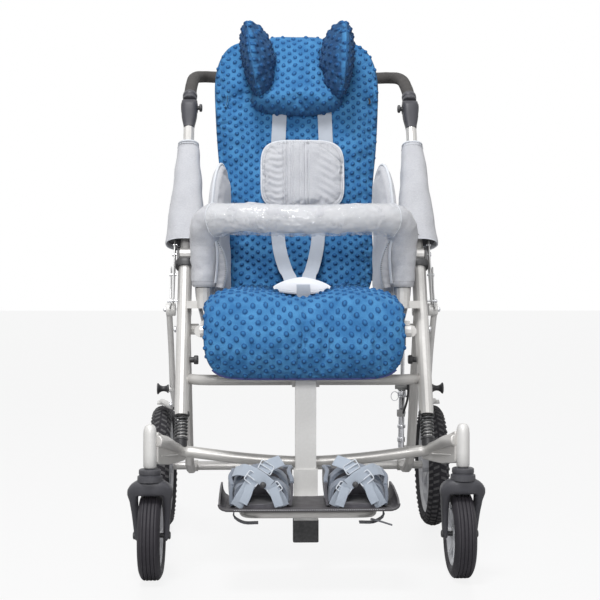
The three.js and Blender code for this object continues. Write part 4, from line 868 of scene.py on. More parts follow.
SEAT_LINE = ((0.0, 0.5586), (-0.145, 0.5537), (-0.2284, 0.5488), (-0.2715, 0.5316), (-0.290, 0.4872),
             (-0.290, 0.406))
SEAT_HALF_THICKNESS = 0.028
SEAT_THICK = (1.35, 1.35, 1.17, 1.0, 0.95, 0.85)
SEAT_HALF_WIDTH = 0.202
SEAT_X = -0.004
SEAT_WIDTHS = (0.80, 0.80, 0.82, 0.97, 1.0, 1.01, 0.985)


def seat_cushion():
    across, along, s, t = square_grid(62, 70, 8)
    share = (along + 1) / 2
    line = evened(curve_through(SEAT_LINE), 400)
    length = np.linalg.norm(np.diff(line, axis=0), axis=1).sum()
    at = np.linspace(0, 1, len(line))
    y, z = (np.interp(share, at, line[:, k]) for k in (0, 1))
    way = np.gradient(line, axis=0)
    way /= np.linalg.norm(way, axis=1)[:, None]
    normal_y = np.interp(share, at, way[:, 1])
    normal_z = -np.interp(share, at, way[:, 0])
    u = across * SEAT_HALF_WIDTH * table(SEAT_WIDTHS, share)
    v = share * length
    half = SEAT_HALF_THICKNESS * table(SEAT_THICK, share) * crown(s, t, 6)
    fade = np.clip((share - 0.36) / 0.40, 0, 1)
    dip = 0.036 * np.exp(-((u / 0.060) ** 2)) * (1 - fade**2 * (3 - 2 * fade))
    x = u + SEAT_X
    front = np.stack([x, y + normal_y * (half - dip), z + normal_z * (half - dip)], -1)
    back = np.stack([x, y - normal_y * half, z - normal_z * half], -1)
    fold = lumps(front, 0.045, 7) * 0.004 + lumps(front, 0.10, 8) * 0.005
    puckers = 0.0022 * np.sin(u * 260 + 2 * lumps(front, 0.05, 9)) * np.clip((share - 0.7) * 3.4, 0, 1)
    lift = (fold + puckers) * np.minimum(1, crown(s, t, 6))
    front = front + np.stack([np.zeros_like(u), normal_y, normal_z], -1) * lift[..., None]
    front = inflated(front, back, slack=0.03, cap=0.007)
    padded_piece("seat_pad", front, back, np.stack([u, v], -1), "seat", BLUE,
                 ["seat_cushion"], dots=True, times=4)
    line = rim_of(front)
    low = line[line[:, 2] < 0.425]
    low = low[np.argsort(low[:, 0])]
    hem = evened(low, 60) + np.array([0, 0.004, -0.001])
    solid_piece("seat_pad_hem", [swept(hem, ring_section(0.003, 0.0045, 10), across=(0, 0, 1))], LINING,
                "seat")




# Side pads, chest pad, harness

SIDE_INNER, SIDE_THICK = 0.155, 0.029
SIDE_SPLAY = math.tan(math.radians(19))
SIDE_REAR, SIDE_FRONT = 0.020, -0.078
SIDE_LOW, SIDE_TOP = 0.5208, 0.869
SIDE_OUTLINE = ((0.94, 0), (0.3, 0), (0.08, 0.12), (0, 0.35), (0.03, 0.55), (0.12, 0.75),
                (0.28, 0.9), (0.5, 0.985), (0.7, 1), (0.88, 0.96), (0.97, 0.85), (1, 0.5))


def outline_grid(outline, count_u, count_v):
    """Grid of flat places that fills a closed outline, ring by ring, and its rim distance."""
    line = curve_through([*outline, outline[0]])
    around = 2 * (count_u + count_v) - 4
    line = evened(line[:-1], around, closed=True)
    middle = line.mean(0)
    turn = np.arctan2(*(line - middle).T[::-1])
    start = int(np.argmin(abs(turn + 0.75 * math.pi)))
    line = np.roll(line, -start, axis=0)
    if np.cross(line[1] - line[0], middle - line[0]) < 0:
        line = np.roll(line[::-1], 1, axis=0)
    a = np.arange(count_u)
    b = np.arange(count_v)
    i, j = np.meshgrid(a, b, indexing="ij")
    s = 2 * i / (count_u - 1) - 1
    t = 2 * j / (count_v - 1) - 1
    rim = np.maximum(abs(s), abs(t))
    unit = np.divide(1, rim, out=np.ones_like(rim), where=rim > 0)
    ps, pt = np.clip(s * unit, -1, 1), np.clip(t * unit, -1, 1)
    along_u = (ps + 1) / 2 * (count_u - 1)
    along_v = (pt + 1) / 2 * (count_v - 1)
    bottom = np.isclose(pt, -1)
    right = np.isclose(ps, 1) & ~bottom
    top = np.isclose(pt, 1) & ~right & ~bottom
    place = np.where(bottom, along_u, 0.0)
    place = np.where(right, count_u - 1 + along_v, place)
    place = np.where(top, 2 * (count_u - 1) + count_v - 1 - along_u, place)
    left = ~(bottom | right | top)
    place = np.where(left, 2 * (count_u - 1) + 2 * (count_v - 1) - along_v, place)
    place = place % around
    ring = np.vstack([line, line[:1]])
    at = np.arange(around + 1)
    x, y = (np.interp(place, at, ring[:, k]) for k in (0, 1))
    ease = np.sin(rim * math.pi / 2) * 0.35 + rim * 0.65
    return middle[0] + (x - middle[0]) * ease, middle[1] + (y - middle[1]) * ease, rim


def side_pad(side, sign):
    flat = [(SIDE_FRONT + a * (SIDE_REAR - SIDE_FRONT), SIDE_LOW + b * (SIDE_TOP - SIDE_LOW))
            for a, b in SIDE_OUTLINE]
    y, z, rim = outline_grid(flat, 24, 56)
    body = np.sqrt(np.clip(1 - rim**5, 0, 1))
    middle = SIDE_INNER + SIDE_THICK / 2 + (SIDE_REAR - y) * SIDE_SPLAY
    grids = [np.stack([sign * (middle + face * SIDE_THICK / 2 * body), y, z], -1) for face in (-1, 1)]
    inner, outer = grids
    inner = inflated(inner, outer, slack=0.02, cap=0.004)

    fine = refined(rim[..., None], 3)[..., 0]

    def quilting(u, v):
        return 0.0010 * np.exp(-(((fine - 0.90) / 0.012) ** 2))

    padded_piece(f"hip_pad_{side}", inner, outer, np.stack([y, z], -1), "seat", GREY_CLOTH,
                 [f"side_pad_{side}"], grooves=quilting)
    piping(f"hip_pad_piping_{side}", inner, 0.0032, PIPING, "seat")


CHEST_LOW, CHEST_TOP = 0.182, 0.341
CHEST_HALF_WIDTH = 0.094
CHEST_HALF_THICKNESS = 0.010
CHEST_X = 0.003
CHEST_SEAMS = ((-0.043, 0.0012, 0.0024, 0.0), (-0.036, 0.0016, 0.0030, 0.2), (-0.0255, 0.0012, 0.0020, 0.1),
               (-0.020, 0.0010, 0.0012, 0.1), (-0.006, 0.0010, 0.0010, 0.1), (0.006, 0.0012, 0.0022, 0.0),
               (0.013, 0.0016, 0.0026, -0.2))


def chest_pad(surface):
    across, up, s, t = square_grid(46, 42, 4.4)
    u = across * CHEST_HALF_WIDTH
    v = CHEST_LOW + (CHEST_TOP - CHEST_LOW) * (up + 1) / 2
    body = crown(s, t, 6)
    rest = max(on_back_out(resting(surface, x, up, 0))
               for x in (-0.08, -0.04, 0, 0.04, 0.08) for up in (0.2, 0.25, 0.3, 0.33))
    out = rest + 0.0035 + CHEST_HALF_THICKNESS + 0.004 * np.cos(u * 14) - 0.004
    out = out + 0.003 * lumps(np.stack([u, v, 0 * u], -1), 0.09, 31)
    front = on_back(CHEST_X + u, out + CHEST_HALF_THICKNESS * body, v)
    back = on_back(CHEST_X + u, out - CHEST_HALF_THICKNESS * body, v)
    front = front - normals_of(front) * (lumps(front, 0.03, 11) * 0.002 * body)[..., None]
    front = inflated(front, back, slack=0.03, cap=0.004)

    def seams(u, v):
        lines = sum(np.exp(-(((u - seam - 0.06 * (v - 0.26) * slant) / width) ** 2)) * depth
                    for seam, width, depth, slant in CHEST_SEAMS)
        far = np.clip((u - 0.012) / 0.03, 0, 1)
        diagonal = np.exp(-(((v - 0.3335 + (u - 0.030) * 0.75) / 0.0030) ** 2)) * far
        wrinkle = (np.sin((v - u * 0.15) * 420 + 3 * np.sin(u * 90)) * np.exp(-(((u + 0.060) / 0.022) ** 2))
                   + np.sin((v * 0.9 + u * 0.5) * 380) * np.exp(-(((u - 0.055) / 0.022) ** 2))) * 0.0005
        band = np.exp(-(((u + 0.012) / 0.018) ** 4)) * -0.0026
        return 1.5 * lines + 0.0034 * diagonal + 1.6 * wrinkle + band

    padded_piece("chest_pad_cover", front, back, np.stack([u, v], -1), "backrest", GREY_CLOTH,
                 ["chest_pad"], times=5, grooves=seams)
    piping("chest_pad_piping", front, 0.0026, PIPING, "backrest")
    out = 0.0004 if np.mean((normals_of(front) @ np.array((0, -1.0, 0)))) > 0 else -0.0004
    stitches("chest_pad_stitches", inset_ring(front, 3, out), THREAD, "backrest", "grey_cloth", closed=True)


def tape_section(width, thickness):
    return ring_section(width / 2, thickness / 2, 16, 5)


def tape(points, width, thickness=0.0018, across=(1, 0, 0), steps=None):
    """Points and faces of a flat strap along points."""
    line = curve_through(points)
    length = np.linalg.norm(np.diff(line, axis=0), axis=1).sum()
    line = evened(line, steps or max(6, int(length / 0.006)))
    return swept(line, tape_section(width, thickness), across=across)


STRAP_WIDTH = 0.033


def on_back_out(point):
    """How far a point lies in front of the backrest's board."""
    y, z = point[1] - BACK_FOOT[0], point[2] - BACK_FOOT[1]
    return -y * math.cos(BACK_LEAN) + z * math.sin(BACK_LEAN)


def harness(surface):
    parts = []
    for high, low in ((-0.048, -0.056), (0.055, 0.061)):
        places = [(low + (high - low) * k / 8, 0.255 + 0.175 * k / 8) for k in range(9)]
        line = np.array([resting(surface, x, up, 0.0020) for x, up in places])
        line[1:-1] = (line[:-2] + line[2:]) / 4 + line[1:-1] / 2
        parts.append(tape(line[::-1], STRAP_WIDTH))
    for end, run in ((-0.030, ((-0.056, 0.235), (-0.056, 0.180), (-0.054, 0.135), (-0.051, 0.100),
                               (-0.045, 0.068), (-0.035, 0.036))),
                     (0.017, ((0.043, 0.235), (0.042, 0.180), (0.040, 0.135), (0.037, 0.100), (0.031, 0.068),
                              (0.022, 0.036)))):
        line = [resting(surface, x, up, 0.0042 + 0.024 * max(0, (0.10 - up) / 0.07) ** 1.4) for x, up in run]
        line += [np.array((end, -0.014, 0.6205)), np.array((end * 0.8, -0.044, 0.6035))]
        parts.append(tape(line, STRAP_WIDTH * 0.94))
    crotch = [(0.001, -0.070, 0.5870), (0.001, -0.086, 0.5800), (0.001, -0.096, 0.5680),
              (0.001, -0.098, 0.5500)]
    solid_piece("harness_straps", parts, WEBBING, "backrest", ["harness"], sharp=60)
    solid_piece("crotch_strap", [tape(crotch, 0.030)], WEBBING, "seat", sharp=60)


def crotch_pad():
    """Leaf-shaped vinyl pad where the straps meet."""
    half = 0.069
    outline = []
    for k in range(40):
        angle = 2 * math.pi * k / 40
        c, s = math.cos(angle), math.sin(angle)
        outline.append((half * c * abs(c) ** 0.55, 0.031 * math.copysign(abs(s) ** 1.2, s)))
    u, v, rim = outline_grid(outline[::2], 34, 24)
    body = np.sqrt(np.clip(1 - rim**4, 0, 1))
    droop = 1.4 * u**2
    y = -0.058 + v * 0.80
    z = 0.5945 + v * 0.62 - droop
    face = np.array((-0.61, 0.79))
    grids = []
    for lift in (0.0060, -0.0035):
        grids.append(np.stack([u - 0.001, y + face[0] * lift * body, z + face[1] * lift * body], -1))

    def stitch(u, v):
        fine = refined(rim[..., None], 4)[..., 0]
        edge = 0.0013 * np.exp(-(((fine - 0.82) / 0.025) ** 2))
        return edge + 0.0006 * np.exp(-(((v - 0.004) / 0.0012) ** 2)) * (abs(u) < 0.03)

    padded_piece("crotch_pad", grids[0], grids[1], np.stack([u, v], -1), "backrest", PALE_VINYL,
                 [], grooves=stitch, times=4)
    loop = [(0.001, -0.066, 0.5975), (0.001, -0.078, 0.5915), (0.001, -0.0885, 0.5840),
            (0.001, -0.0925, 0.5740)]
    solid_piece("crotch_tab", [tape(loop, 0.030, 0.0022)], WEBBING, "backrest", sharp=60)


back_surface = surface_of(back_cushion())
back_slits(back_surface)
head_pillow()
seat_cushion()
harness(back_surface)
chest_pad(back_surface)
crotch_pad()
for side, sign in SIDES:
    head_wing(side, sign)
    side_pad(side, sign)


# Kept solids, with soft edges


def kept(names, look, bevel=0.0012, smooth=42):
    """Solids whose own shape is shown, with smooth shading and small rounded edges."""
    for name in names:
        obj = nodes[name]
        obj.data.materials.clear()
        obj.data.materials.append(look)
        obj.data.polygons.foreach_set("use_smooth", [True] * len(obj.data.polygons))
        obj.data.set_sharp_from_angle(angle=math.radians(smooth))
        if bevel:
            bevelled(obj, bevel)


def both(*names):
    return [f"{name}_{side}" for name in names for side, _ in SIDES]


kept(both("main_tube", "rear_leg", "upper_tube") + ["rear_axle", "seat_frame"], SILVER)
kept(["leg_post"], PALE_SILVER)
kept(["leg_sleeve"], PALE_SILVER, 0.002)
kept(both("fold_hinge"), BLACK)
kept(["strut_sleeve", "strut_rod"], CHROME, 0.0006)
kept(both("rear_rim"), RIM, 0.0015)
kept(["back_board"], BOARD_CLOTH, 0.003)


# Front end: arch, casters and shocks

CASTER_X = 0.312
CASTER_AXLE_Y = -0.280
SWIVEL_Y = -0.320
CASTER_RADIUS = 0.089


def front_arch():
    ends = [(0.2982, -0.320, 0.284), (0.286, -0.297, 0.2805), (0.260, -0.1946, 0.2497),
            (0.220, -0.190, 0.2432), (0.110, -0.190, 0.230)]
    route = [(-x, y, z) for x, y, z in ends] + [(0, -0.190, 0.224)] + ends[::-1]
    parts = [bar(route, 0.012, steps=110, sides=28)]
    for _, sign in SIDES:
        plate = rounded_outline([(0, 0.238), (0, 0.303), (0.058, 0.285), (0.142, 0.264), (0.190, 0.252),
                                 (0.186, 0.233), (0.172, 0.226), (0.07, 0.229)], 0.008)
        points, faces = prism([tuple(p) for p in plate], -0.0065, 0.0065, "Y")
        turn = math.atan2(0.126, -0.038) if sign > 0 else math.atan2(0.126, 0.038)
        along = np.array((math.cos(turn), math.sin(turn), 0))
        aside = np.array((-math.sin(turn), math.cos(turn), 0))
        start = np.array((sign * 0.3015, -0.3195, 0))
        placed = (start + points[:, :1] * along * 0.88 + points[:, 1:2] * aside
                  + points[:, 2:] * np.array((0, 0, 1)))
        parts.append((placed, faces))
    solid_piece("arch_tube", parts, SILVER, "front_axle", ["front_arch"], bevel=0.0018)
    for side, sign in SIDES:
        lines = []
        for k in range(3):
            low = np.array((sign * 0.291, -0.3032, 0.286 - 0.017 * k))
            high = np.array((sign * (0.268 - 0.002 * k), -0.2245, 0.268 - 0.012 * k))
            lines.append(bar([low, (low + high) / 2, high], 0.0022, sides=8, steps=14))
        solid_piece(f"arch_ribs_{side}", lines, SILVER, "front_axle")


def caster_housing(side, sign):
    profile = [(0, 0.2312), (0.0115, 0.2312), (0.0132, 0.2335), (0.0133, 0.26), (0.0131, 0.298),
               (0.0124, 0.307), (0.0104, 0.3132), (0.0068, 0.3165), (0.003, 0.3175), (0, 0.3176)]
    solid_piece(f"caster_barrel_{side}", [turned(profile, 40, "Z", (sign * CASTER_X, SWIVEL_Y, 0))],
                PALE_SILVER, "front_axle", [f"caster_housing_{side}"])


def caster_fork(side, sign):
    """A fork with round shoulders, its two legs trailing back to the axle, and its collar."""
    leg = [(0.0292, -0.2790, 0.0780), (0.0300, -0.2800, 0.0950), (0.0322, -0.290, 0.138),
           (0.0334, -0.302, 0.166), (0.0325, -0.310, 0.1835), (0.0230, -0.315, 0.1905),
           (0.0120, -0.318, 0.1915)]
    half_thick = [0.0046, 0.0052, 0.0068, 0.0082, 0.0125, 0.0152, 0.0160]
    half_deep = [0.0115, 0.0130, 0.0150, 0.0170, 0.0190, 0.0205, 0.0210]
    route = [(-x, y, z) for x, y, z in leg] + [(0, -0.3185, 0.1918)] + leg[::-1]
    thick = half_thick + [0.0162] + half_thick[::-1]
    deep = half_deep + [0.0205] + half_deep[::-1]
    line = curve_through(route)
    share = np.linspace(0, 1, len(line))
    knots = np.linspace(0, 1, len(route))
    count = 64
    line = evened(np.column_stack([line, np.interp(share, knots, thick), np.interp(share, knots, deep)]),
                  count)
    ends = np.sqrt(np.clip(1 - (np.abs(np.linspace(-1, 1, count)) ** 40), 0.05, 1))
    unit = ring_section(1, 1, 22, 3.2)
    section = np.stack([unit[None, :, 0] * (line[:, 4] * ends)[:, None],
                        unit[None, :, 1] * (line[:, 3] * ends)[:, None]], -1)
    arch = swept(line[:, :3], section, across=(0, 1, 0))
    centre = (0, SWIVEL_Y, 0)
    collar = [(0, 0.204), (0.0248, 0.204), (0.0252, 0.2065), (0.0246, 0.2150), (0.0215, 0.2165),
              (0.0212, 0.2185), (0.0222, 0.2200), (0.0218, 0.2275), (0.0195, 0.2290), (0.0104, 0.2292),
              (0.0100, 0.2309), (0, 0.2309)]
    parts = [arch, turned(collar, 40, "Z", centre)]
    moved = [(np.array(points) + (sign * CASTER_X, 0, 0), faces) for points, faces in parts]
    solid_piece(f"fork_{side}", moved, DARK, f"caster_{side}", [f"caster_fork_{side}"])
    half = [(0.0048, 0.0), (0.0048, 0.0335), (0.0078, 0.0340), (0.0080, 0.0362), (0.0060, 0.0378),
            (0, 0.0382)]
    profile = [(0, -w) for _, w in half[-1:]] + [(r, -w) for r, w in half[-2:0:-1]] + half[1:]
    axle = turned(profile, 24, "X", (sign * CASTER_X, CASTER_AXLE_Y, CASTER_RADIUS))
    solid_piece(f"fork_axle_{side}", [axle], BLACK, f"caster_{side}",
                [f"caster_axle_{side}"])


def caster_wheel(side, sign):
    place = (sign * CASTER_X, CASTER_AXLE_Y, CASTER_RADIUS)
    half = 0.0225
    outer = []
    for k in range(49):
        w = -half + 2 * half * k / 48
        edge = abs(w) / half
        radius = CASTER_RADIUS - 0.0125 * max(0.0, (edge - 0.45) / 0.55) ** 2.6
        groove = sum(math.exp(-((w - g) / 0.0009) ** 2) for g in (-0.0110, -0.0037, 0.0037, 0.0110))
        outer.append((radius - 0.0021 * groove, w))
    profile = [(0.0635, -0.0175), (0.0700, -0.0215), *outer, (0.0700, 0.0215), (0.0635, 0.0175)]
    solid_piece(f"caster_tread_{side}", [closed_turned(profile, 72, "X", place)], CASTER_RUBBER,
                f"caster_wheel_{side}", [f"caster_tyre_{side}"], sharp=60)
    face = [(0.0055, 0.0150), (0.0125, 0.0150), (0.0140, 0.0140), (0.0145, 0.0075), (0.0190, 0.0062),
            (0.0480, 0.0078), (0.0530, 0.0110), (0.0560, 0.0160), (0.0605, 0.0180), (0.0634, 0.0176)]
    rim = [(r, -w) for r, w in face] + face[::-1]
    parts = [closed_turned(rim, 72, "X", place)]
    for end in (-1, 1):
        for k in range(6):
            angle = k * math.pi / 3
            rib = [(end * 0.0105, 0.0135, 0), (end * 0.0118, 0.032, 0), (end * 0.0145, 0.0535, 0)]
            c, s = math.cos(angle), math.sin(angle)
            turned_rib = [(x + place[0], y * c + place[1], y * s + place[2]) for x, y, _ in rib]
            parts.append(bar(turned_rib, 0.0036, sides=8, steps=8))
    solid_piece(f"caster_disc_{side}", parts, RIM, f"caster_wheel_{side}",
                [f"caster_rim_{side}"])


SHOCK_TOP = -0.373
SHOCK_LOW = -0.423
SHOCK_FOOT = -0.442
SPRING_RADIUS = 0.0122
SPRING_WIRE = 0.0024
SUSPENSION_TRAVEL = 0.012


def shock(side, sign):
    turns = 6.5
    steps = int(turns * 26)
    coil = []
    for k in range(steps + 1):
        angle = 2 * math.pi * turns * k / steps
        height = SHOCK_LOW + SPRING_WIRE + (SHOCK_TOP - SHOCK_LOW - 2 * SPRING_WIRE) * k / steps
        coil.append((SPRING_RADIUS * math.cos(angle), SPRING_RADIUS * math.sin(angle), height))
    wire = swept(on_axis(sign, coil), ring_section(SPRING_WIRE, SPRING_WIRE * 0.9, 10))
    obj = solid_piece(f"spring_coil_{side}", [wire], SPRING, "frame",
                      [f"shock_spring_{side}"], sharp=80)
    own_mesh(obj)
    core_top = SHOCK_TOP - SUSPENSION_TRAVEL - 0.0005
    core = [(0, SHOCK_LOW + 0.001), (0.0098, SHOCK_LOW + 0.001), (0.0098, core_top), (0, core_top)]
    solid_piece(f"spring_core_{side}", [axis_part(sign, turned(core, 28))], PALE_SILVER, "front_axle")
    cap = [(0.0105, 0.0), (0.0162, 0.0), (0.0170, 0.0012), (0.0170, 0.0078), (0.0162, 0.0092),
           (0.0105, 0.0092)]
    ring = [(r, h + SHOCK_TOP - 0.0012) for r, h in cap]
    solid_piece(f"spring_cap_{side}", [axis_part(sign, closed_turned(ring, 36, "Z", (0, 0, 0)))], BLACK,
                "frame")
    sleeve = [(0, SHOCK_FOOT), (0.0128, SHOCK_FOOT), (0.0132, SHOCK_FOOT + 0.002),
              (0.0132, SHOCK_LOW - 0.004), (0.0146, SHOCK_LOW - 0.003), (0.0146, SHOCK_LOW + 0.001),
              (0.0138, SHOCK_LOW + 0.002), (0, SHOCK_LOW + 0.002)]
    solid_piece(f"shock_sleeve_{side}", [axis_part(sign, turned(sleeve, 32))], BLACK, "front_axle",
                [f"shock_rod_{side}"])


front_arch()
for side, sign in SIDES:
    caster_housing(side, sign)
    caster_fork(side, sign)
    caster_wheel(side, sign)
    shock(side, sign)


# Rear end: tyres, brakes and cross tubes

REAR_X, REAR_Y, REAR_RADIUS = 0.335, 0.280, 0.151
REAR_RIM = 0.118
TYRE_HALF = 0.024


def tyre_surface(angle, across, lift):
    """Place on a rear tyre: across runs from -1 to 1 over the tread."""
    bend = across * math.radians(72)
    section = 0.0215
    centre = REAR_RADIUS - 0.003 - section
    radius = centre + (section + lift) * math.cos(bend)
    x = (TYRE_HALF - 0.001 + lift) * math.sin(bend) / math.sin(math.radians(72))
    return x, radius * math.cos(angle), radius * math.sin(angle)


def rear_tyre(side, sign):
    place = np.array((sign * REAR_X, REAR_Y, REAR_RADIUS))
    section = []
    for k in range(31):
        across = -1.25 + 2.5 * k / 30
        x, radius, _ = tyre_surface(0, across, 0)
        section.append((radius, x))
    profile = [(REAR_RIM + 0.001, -0.0135), *section, (REAR_RIM + 0.001, 0.0135)]
    parts = [closed_turned(profile, 84, "X", place)]
    solid_piece(f"rear_casing_{side}", parts, TYRE_RUBBER, f"rear_wheel_{side}",
                [f"rear_tyre_{side}"], sharp=60)
    blocks = []
    rows = 54
    step = 2 * math.pi / rows
    for row in range(rows):
        for half in (-1, 1):
            for inner, outer, lead, wide in ((0.05, 0.50, 0.00, 0.40), (0.56, 0.98, 0.30, 0.42)):
                corners = []
                shift = 0.5 * step if half > 0 else 0
                for level in (-0.002, 0.0026):
                    shrink = 0.0 if level < 0 else 0.06
                    for across, first in ((inner + shrink * 0.4, 1), (outer - shrink * 0.4, -1)):
                        slant = step * (lead + 0.75 * across)
                        for edge in ((-1, 1) if first > 0 else (1, -1)):
                            angle = row * step + shift + slant + edge * step * wide * (0.5 - shrink)
                            corners.append(tyre_surface(angle, half * across, level))
                blocks.append((np.array(corners) + place, [[0, 1, 2, 3], [4, 5, 6, 7], [0, 1, 5, 4],
                                                           [1, 2, 6, 5], [2, 3, 7, 6], [3, 0, 4, 7]]))
    solid_piece(f"rear_tread_{side}", blocks, TYRE_RUBBER, f"rear_wheel_{side}")


def smooth_cross_tube():
    ends = [(0.2442, -0.1342, 0.3947), (0.2400, -0.1390, 0.3947), (0.2270, -0.1560, 0.3947),
            (0.2050, -0.1668, 0.3947)]
    route = [(-x, y, z) for x, y, z in ends] + [(0, -0.169, 0.3947)] + ends[::-1]
    solid_piece("cross_tube_smooth", [bar(route, 0.0112, sides=28, steps=90, rounded=False)], SILVER,
                "frame", ["cross_tube"])


REAR_PIVOT = (-0.03918, 0.54305)


def on_leg(back, down, x):
    return (x, REAR_PIVOT[0] + back * (REAR_Y - REAR_PIVOT[0]),
            REAR_PIVOT[1] + down * (REAR_RADIUS - REAR_PIVOT[1]))


BRAKE_X = 0.296


def brake(side, sign):
    x = sign * BRAKE_X
    reach = REAR_RADIUS + 0.020
    shoe_turn = math.radians(16)
    shoe = (sign * REAR_X, REAR_Y - reach * math.sin(shoe_turn), REAR_RADIUS + reach * math.cos(shoe_turn))
    route = [(x, *REAR_PIVOT), on_leg(0.2, 0.24, x), on_leg(0.34, 0.47, x), on_leg(0.52, 0.585, x), shoe]
    parts = [bar(route, 0.0068, sides=18, steps=60)]
    head = [(0, 0), (0.0135, 0), (0.0142, 0.001), (0.0142, 0.0195), (0.0130, 0.021), (0, 0.021)]
    points, faces = turned(head, 32, "X")
    parts.append((points * (sign, 1, 1) + (sign * 0.2815, *REAR_PIVOT), faces))
    pad_points, pad_faces = block((-0.011, -0.008, -0.006), (0.013, 0.008, 0.0))
    c, s = math.cos(shoe_turn), math.sin(shoe_turn)
    tilted = np.column_stack([pad_points[:, 0], pad_points[:, 1] * c - pad_points[:, 2] * s,
                              pad_points[:, 1] * s + pad_points[:, 2] * c])
    parts.append((tilted + np.array(shoe), pad_faces))
    knob = on_leg(0.34, 0.47, x)
    boss = [(0, -0.004), (0.0082, -0.004), (0.0082, 0.0085), (0, 0.0085)]
    points, faces = turned(boss, 24, "X")
    parts.append((points * (sign, 1, 1) + np.array(knob), faces))
    solid_piece(f"brake_lever_{side}", parts, PALE_SILVER, f"brake_{side}",
                [f"brake_arm_{side}"], bevel=0.001)
    profile = [(0, -0.0135), (0.0038, -0.0135), (0.0038, 0.0095), (0.0098, 0.0098), (0.0100, 0.0115),
               (0.0072, 0.0150), (0.0060, 0.0200), (0.0064, 0.0250), (0.0090, 0.0300), (0.0122, 0.0325),
               (0.0130, 0.0340), (0.0130, 0.0352), (0.0118, 0.0360), (0.0050, 0.0362), (0, 0.0363)]
    points, faces = turned(profile, 36, "X")
    solid_piece(f"pull_knob_{side}", [(points * (sign, 1, 1) + np.array(knob), faces)], BLACK,
                f"knob_{side}", [f"lock_knob_{side}"])
    spot = on_leg(0.50, 0.575, x)
    bracket = block((-0.008, -0.006, -0.013), (0.010, 0.010, 0.013))
    solid_piece(f"brake_block_{side}", [(bracket[0] + np.array(spot) + (-sign * 0.004, 0, 0), bracket[1])],
                BLACK, f"brake_{side}", bevel=0.003)
    bolt = [(0, 0), (0.0052, 0), (0.0058, 0.0010), (0.0050, 0.0050), (0.0028, 0.0064), (0, 0.0066)]
    bolts = []
    for place in (on_leg(0.50, 0.575, x + sign * 0.006), (x + sign * 0.0065, *REAR_PIVOT)):
        points, faces = turned(bolt, 20, "X")
        bolts.append((points * (sign, 1, 1) + np.array(place), faces))
    solid_piece(f"brake_bolts_{side}", bolts, CHROME, f"brake_{side}")


smooth_cross_tube()
for side, sign in SIDES:
    rear_tyre(side, sign)
    brake(side, sign)


# Handle frame: sleeves, joints and handlebar


def lofted(rings, closed=False):
    """Points and faces through rings of points; closed rings join their last to their first."""
    rings = np.array(rings)
    count, around = rings.shape[:2]
    faces = []
    for r in range(count if closed else count - 1):
        low, high = r * around, ((r + 1) % count) * around
        for k in range(around):
            nxt = (k + 1) % around
            faces.append([low + k, low + nxt, high + nxt, high + k])
    if not closed:
        faces.append(list(range(around))[::-1])
        faces.append([(count - 1) * around + k for k in range(around)])
    return rings.reshape(-1, 3), faces


def upright_ring(half_x, half_y, height, around=56, power=2.3):
    flat = ring_section(half_x, half_y, around, power)
    return np.column_stack([flat, np.full(around, height)])


def tube_cover(side, sign):
    """Fabric sleeve, hollow below with painted shade inside, that flares out over the fold hinge."""
    low, top = 0.024, 0.276
    rings = []
    for k in range(46):
        share = k / 45
        flare = (1 - share) ** 0.9
        curl = 0.0012 * math.exp(-((share / 0.02) ** 2)) + 0.0022 * math.exp(-(((1 - share) / 0.012) ** 2))
        half_x = 0.0235 + 0.0215 * flare - curl
        half_y = 0.0235 + 0.0115 * flare - curl
        rings.append(upright_ring(half_x, half_y, low + (top - low) * share))
    for radius, height in ((0.0200, 0.2775), (0.0150, 0.2772), (0.0132, 0.2755), (0.0134, 0.22)):
        rings.append(upright_ring(radius, radius, height))
    for share in (0.70, 0.45, 0.22, 0.08, 0.01):
        flare = (1 - share) ** 0.9
        rings.append(upright_ring(0.0205 + 0.0215 * flare, 0.0205 + 0.0115 * flare,
                                  low + (top - low) * share))
    rings = np.array(rings)
    outer = rings[:46]
    ripple = lumps(outer, 0.04, 13 + sign)
    level = (outer[..., 2:3] - low) / (top - low)
    middle = np.array((0, 0, 1.0))
    away = outer * (1 - middle)
    away = away / np.linalg.norm(away, axis=2, keepdims=True)
    hang = np.sin(np.arctan2(away[..., 1], away[..., 0]) * 5 + sign)[..., None]
    rings[:46] = outer + away * (ripple[..., None] * 0.0028 + hang * 0.0016 * (1 - level) ** 2)
    points, faces = lofted(rings, closed=True)
    obj = solid_piece(f"frame_sleeve_{side}", [(on_axis(sign, points), faces)], GREY_CLOTH, "handle_frame",
                      [f"tube_cover_{side}"], sharp=70)
    mouth = upright_ring(0.0445, 0.0345, low + 0.0006, 64)
    # Painted shade: dark cloth rings inside the sleeve's open foot, where it is only shaded.
    dark = [upright_ring(0.0425 - 0.006 * k / 4, 0.0325 - 0.004 * k / 4, low + 0.010 + 0.030 * k / 4, 48)
            for k in range(5)]
    points, faces = lofted(dark)
    solid_piece(f"frame_sleeve_painted_shade_{side}", [(on_axis(sign, points), faces)], BOARD_CLOTH, "handle_frame",
                sharp=50)
    hem = upright_ring(0.0222, 0.0222, 0.2768, 64)
    seam = upright_ring(0.0240, 0.0240, 0.2700, 64)
    thread = upright_ring(0.0249, 0.0247, 0.2670, 90)
    stitches(f"frame_sleeve_stitches_{side}", on_axis(sign, thread), THREAD, "handle_frame", "grey_cloth",
             closed=True)
    cords = [swept(on_axis(sign, hem), ring_section(0.0022, 0.0022, 10), closed=True),
             swept(on_axis(sign, seam), ring_section(0.0008, 0.0008, 6), closed=True),
             swept(on_axis(sign, mouth), ring_section(0.0013, 0.0013, 8), closed=True)]
    solid_piece(f"frame_sleeve_piping_{side}", cords, PIPING, "handle_frame", sharp=80)


HANDLE_PIVOT = 0.376


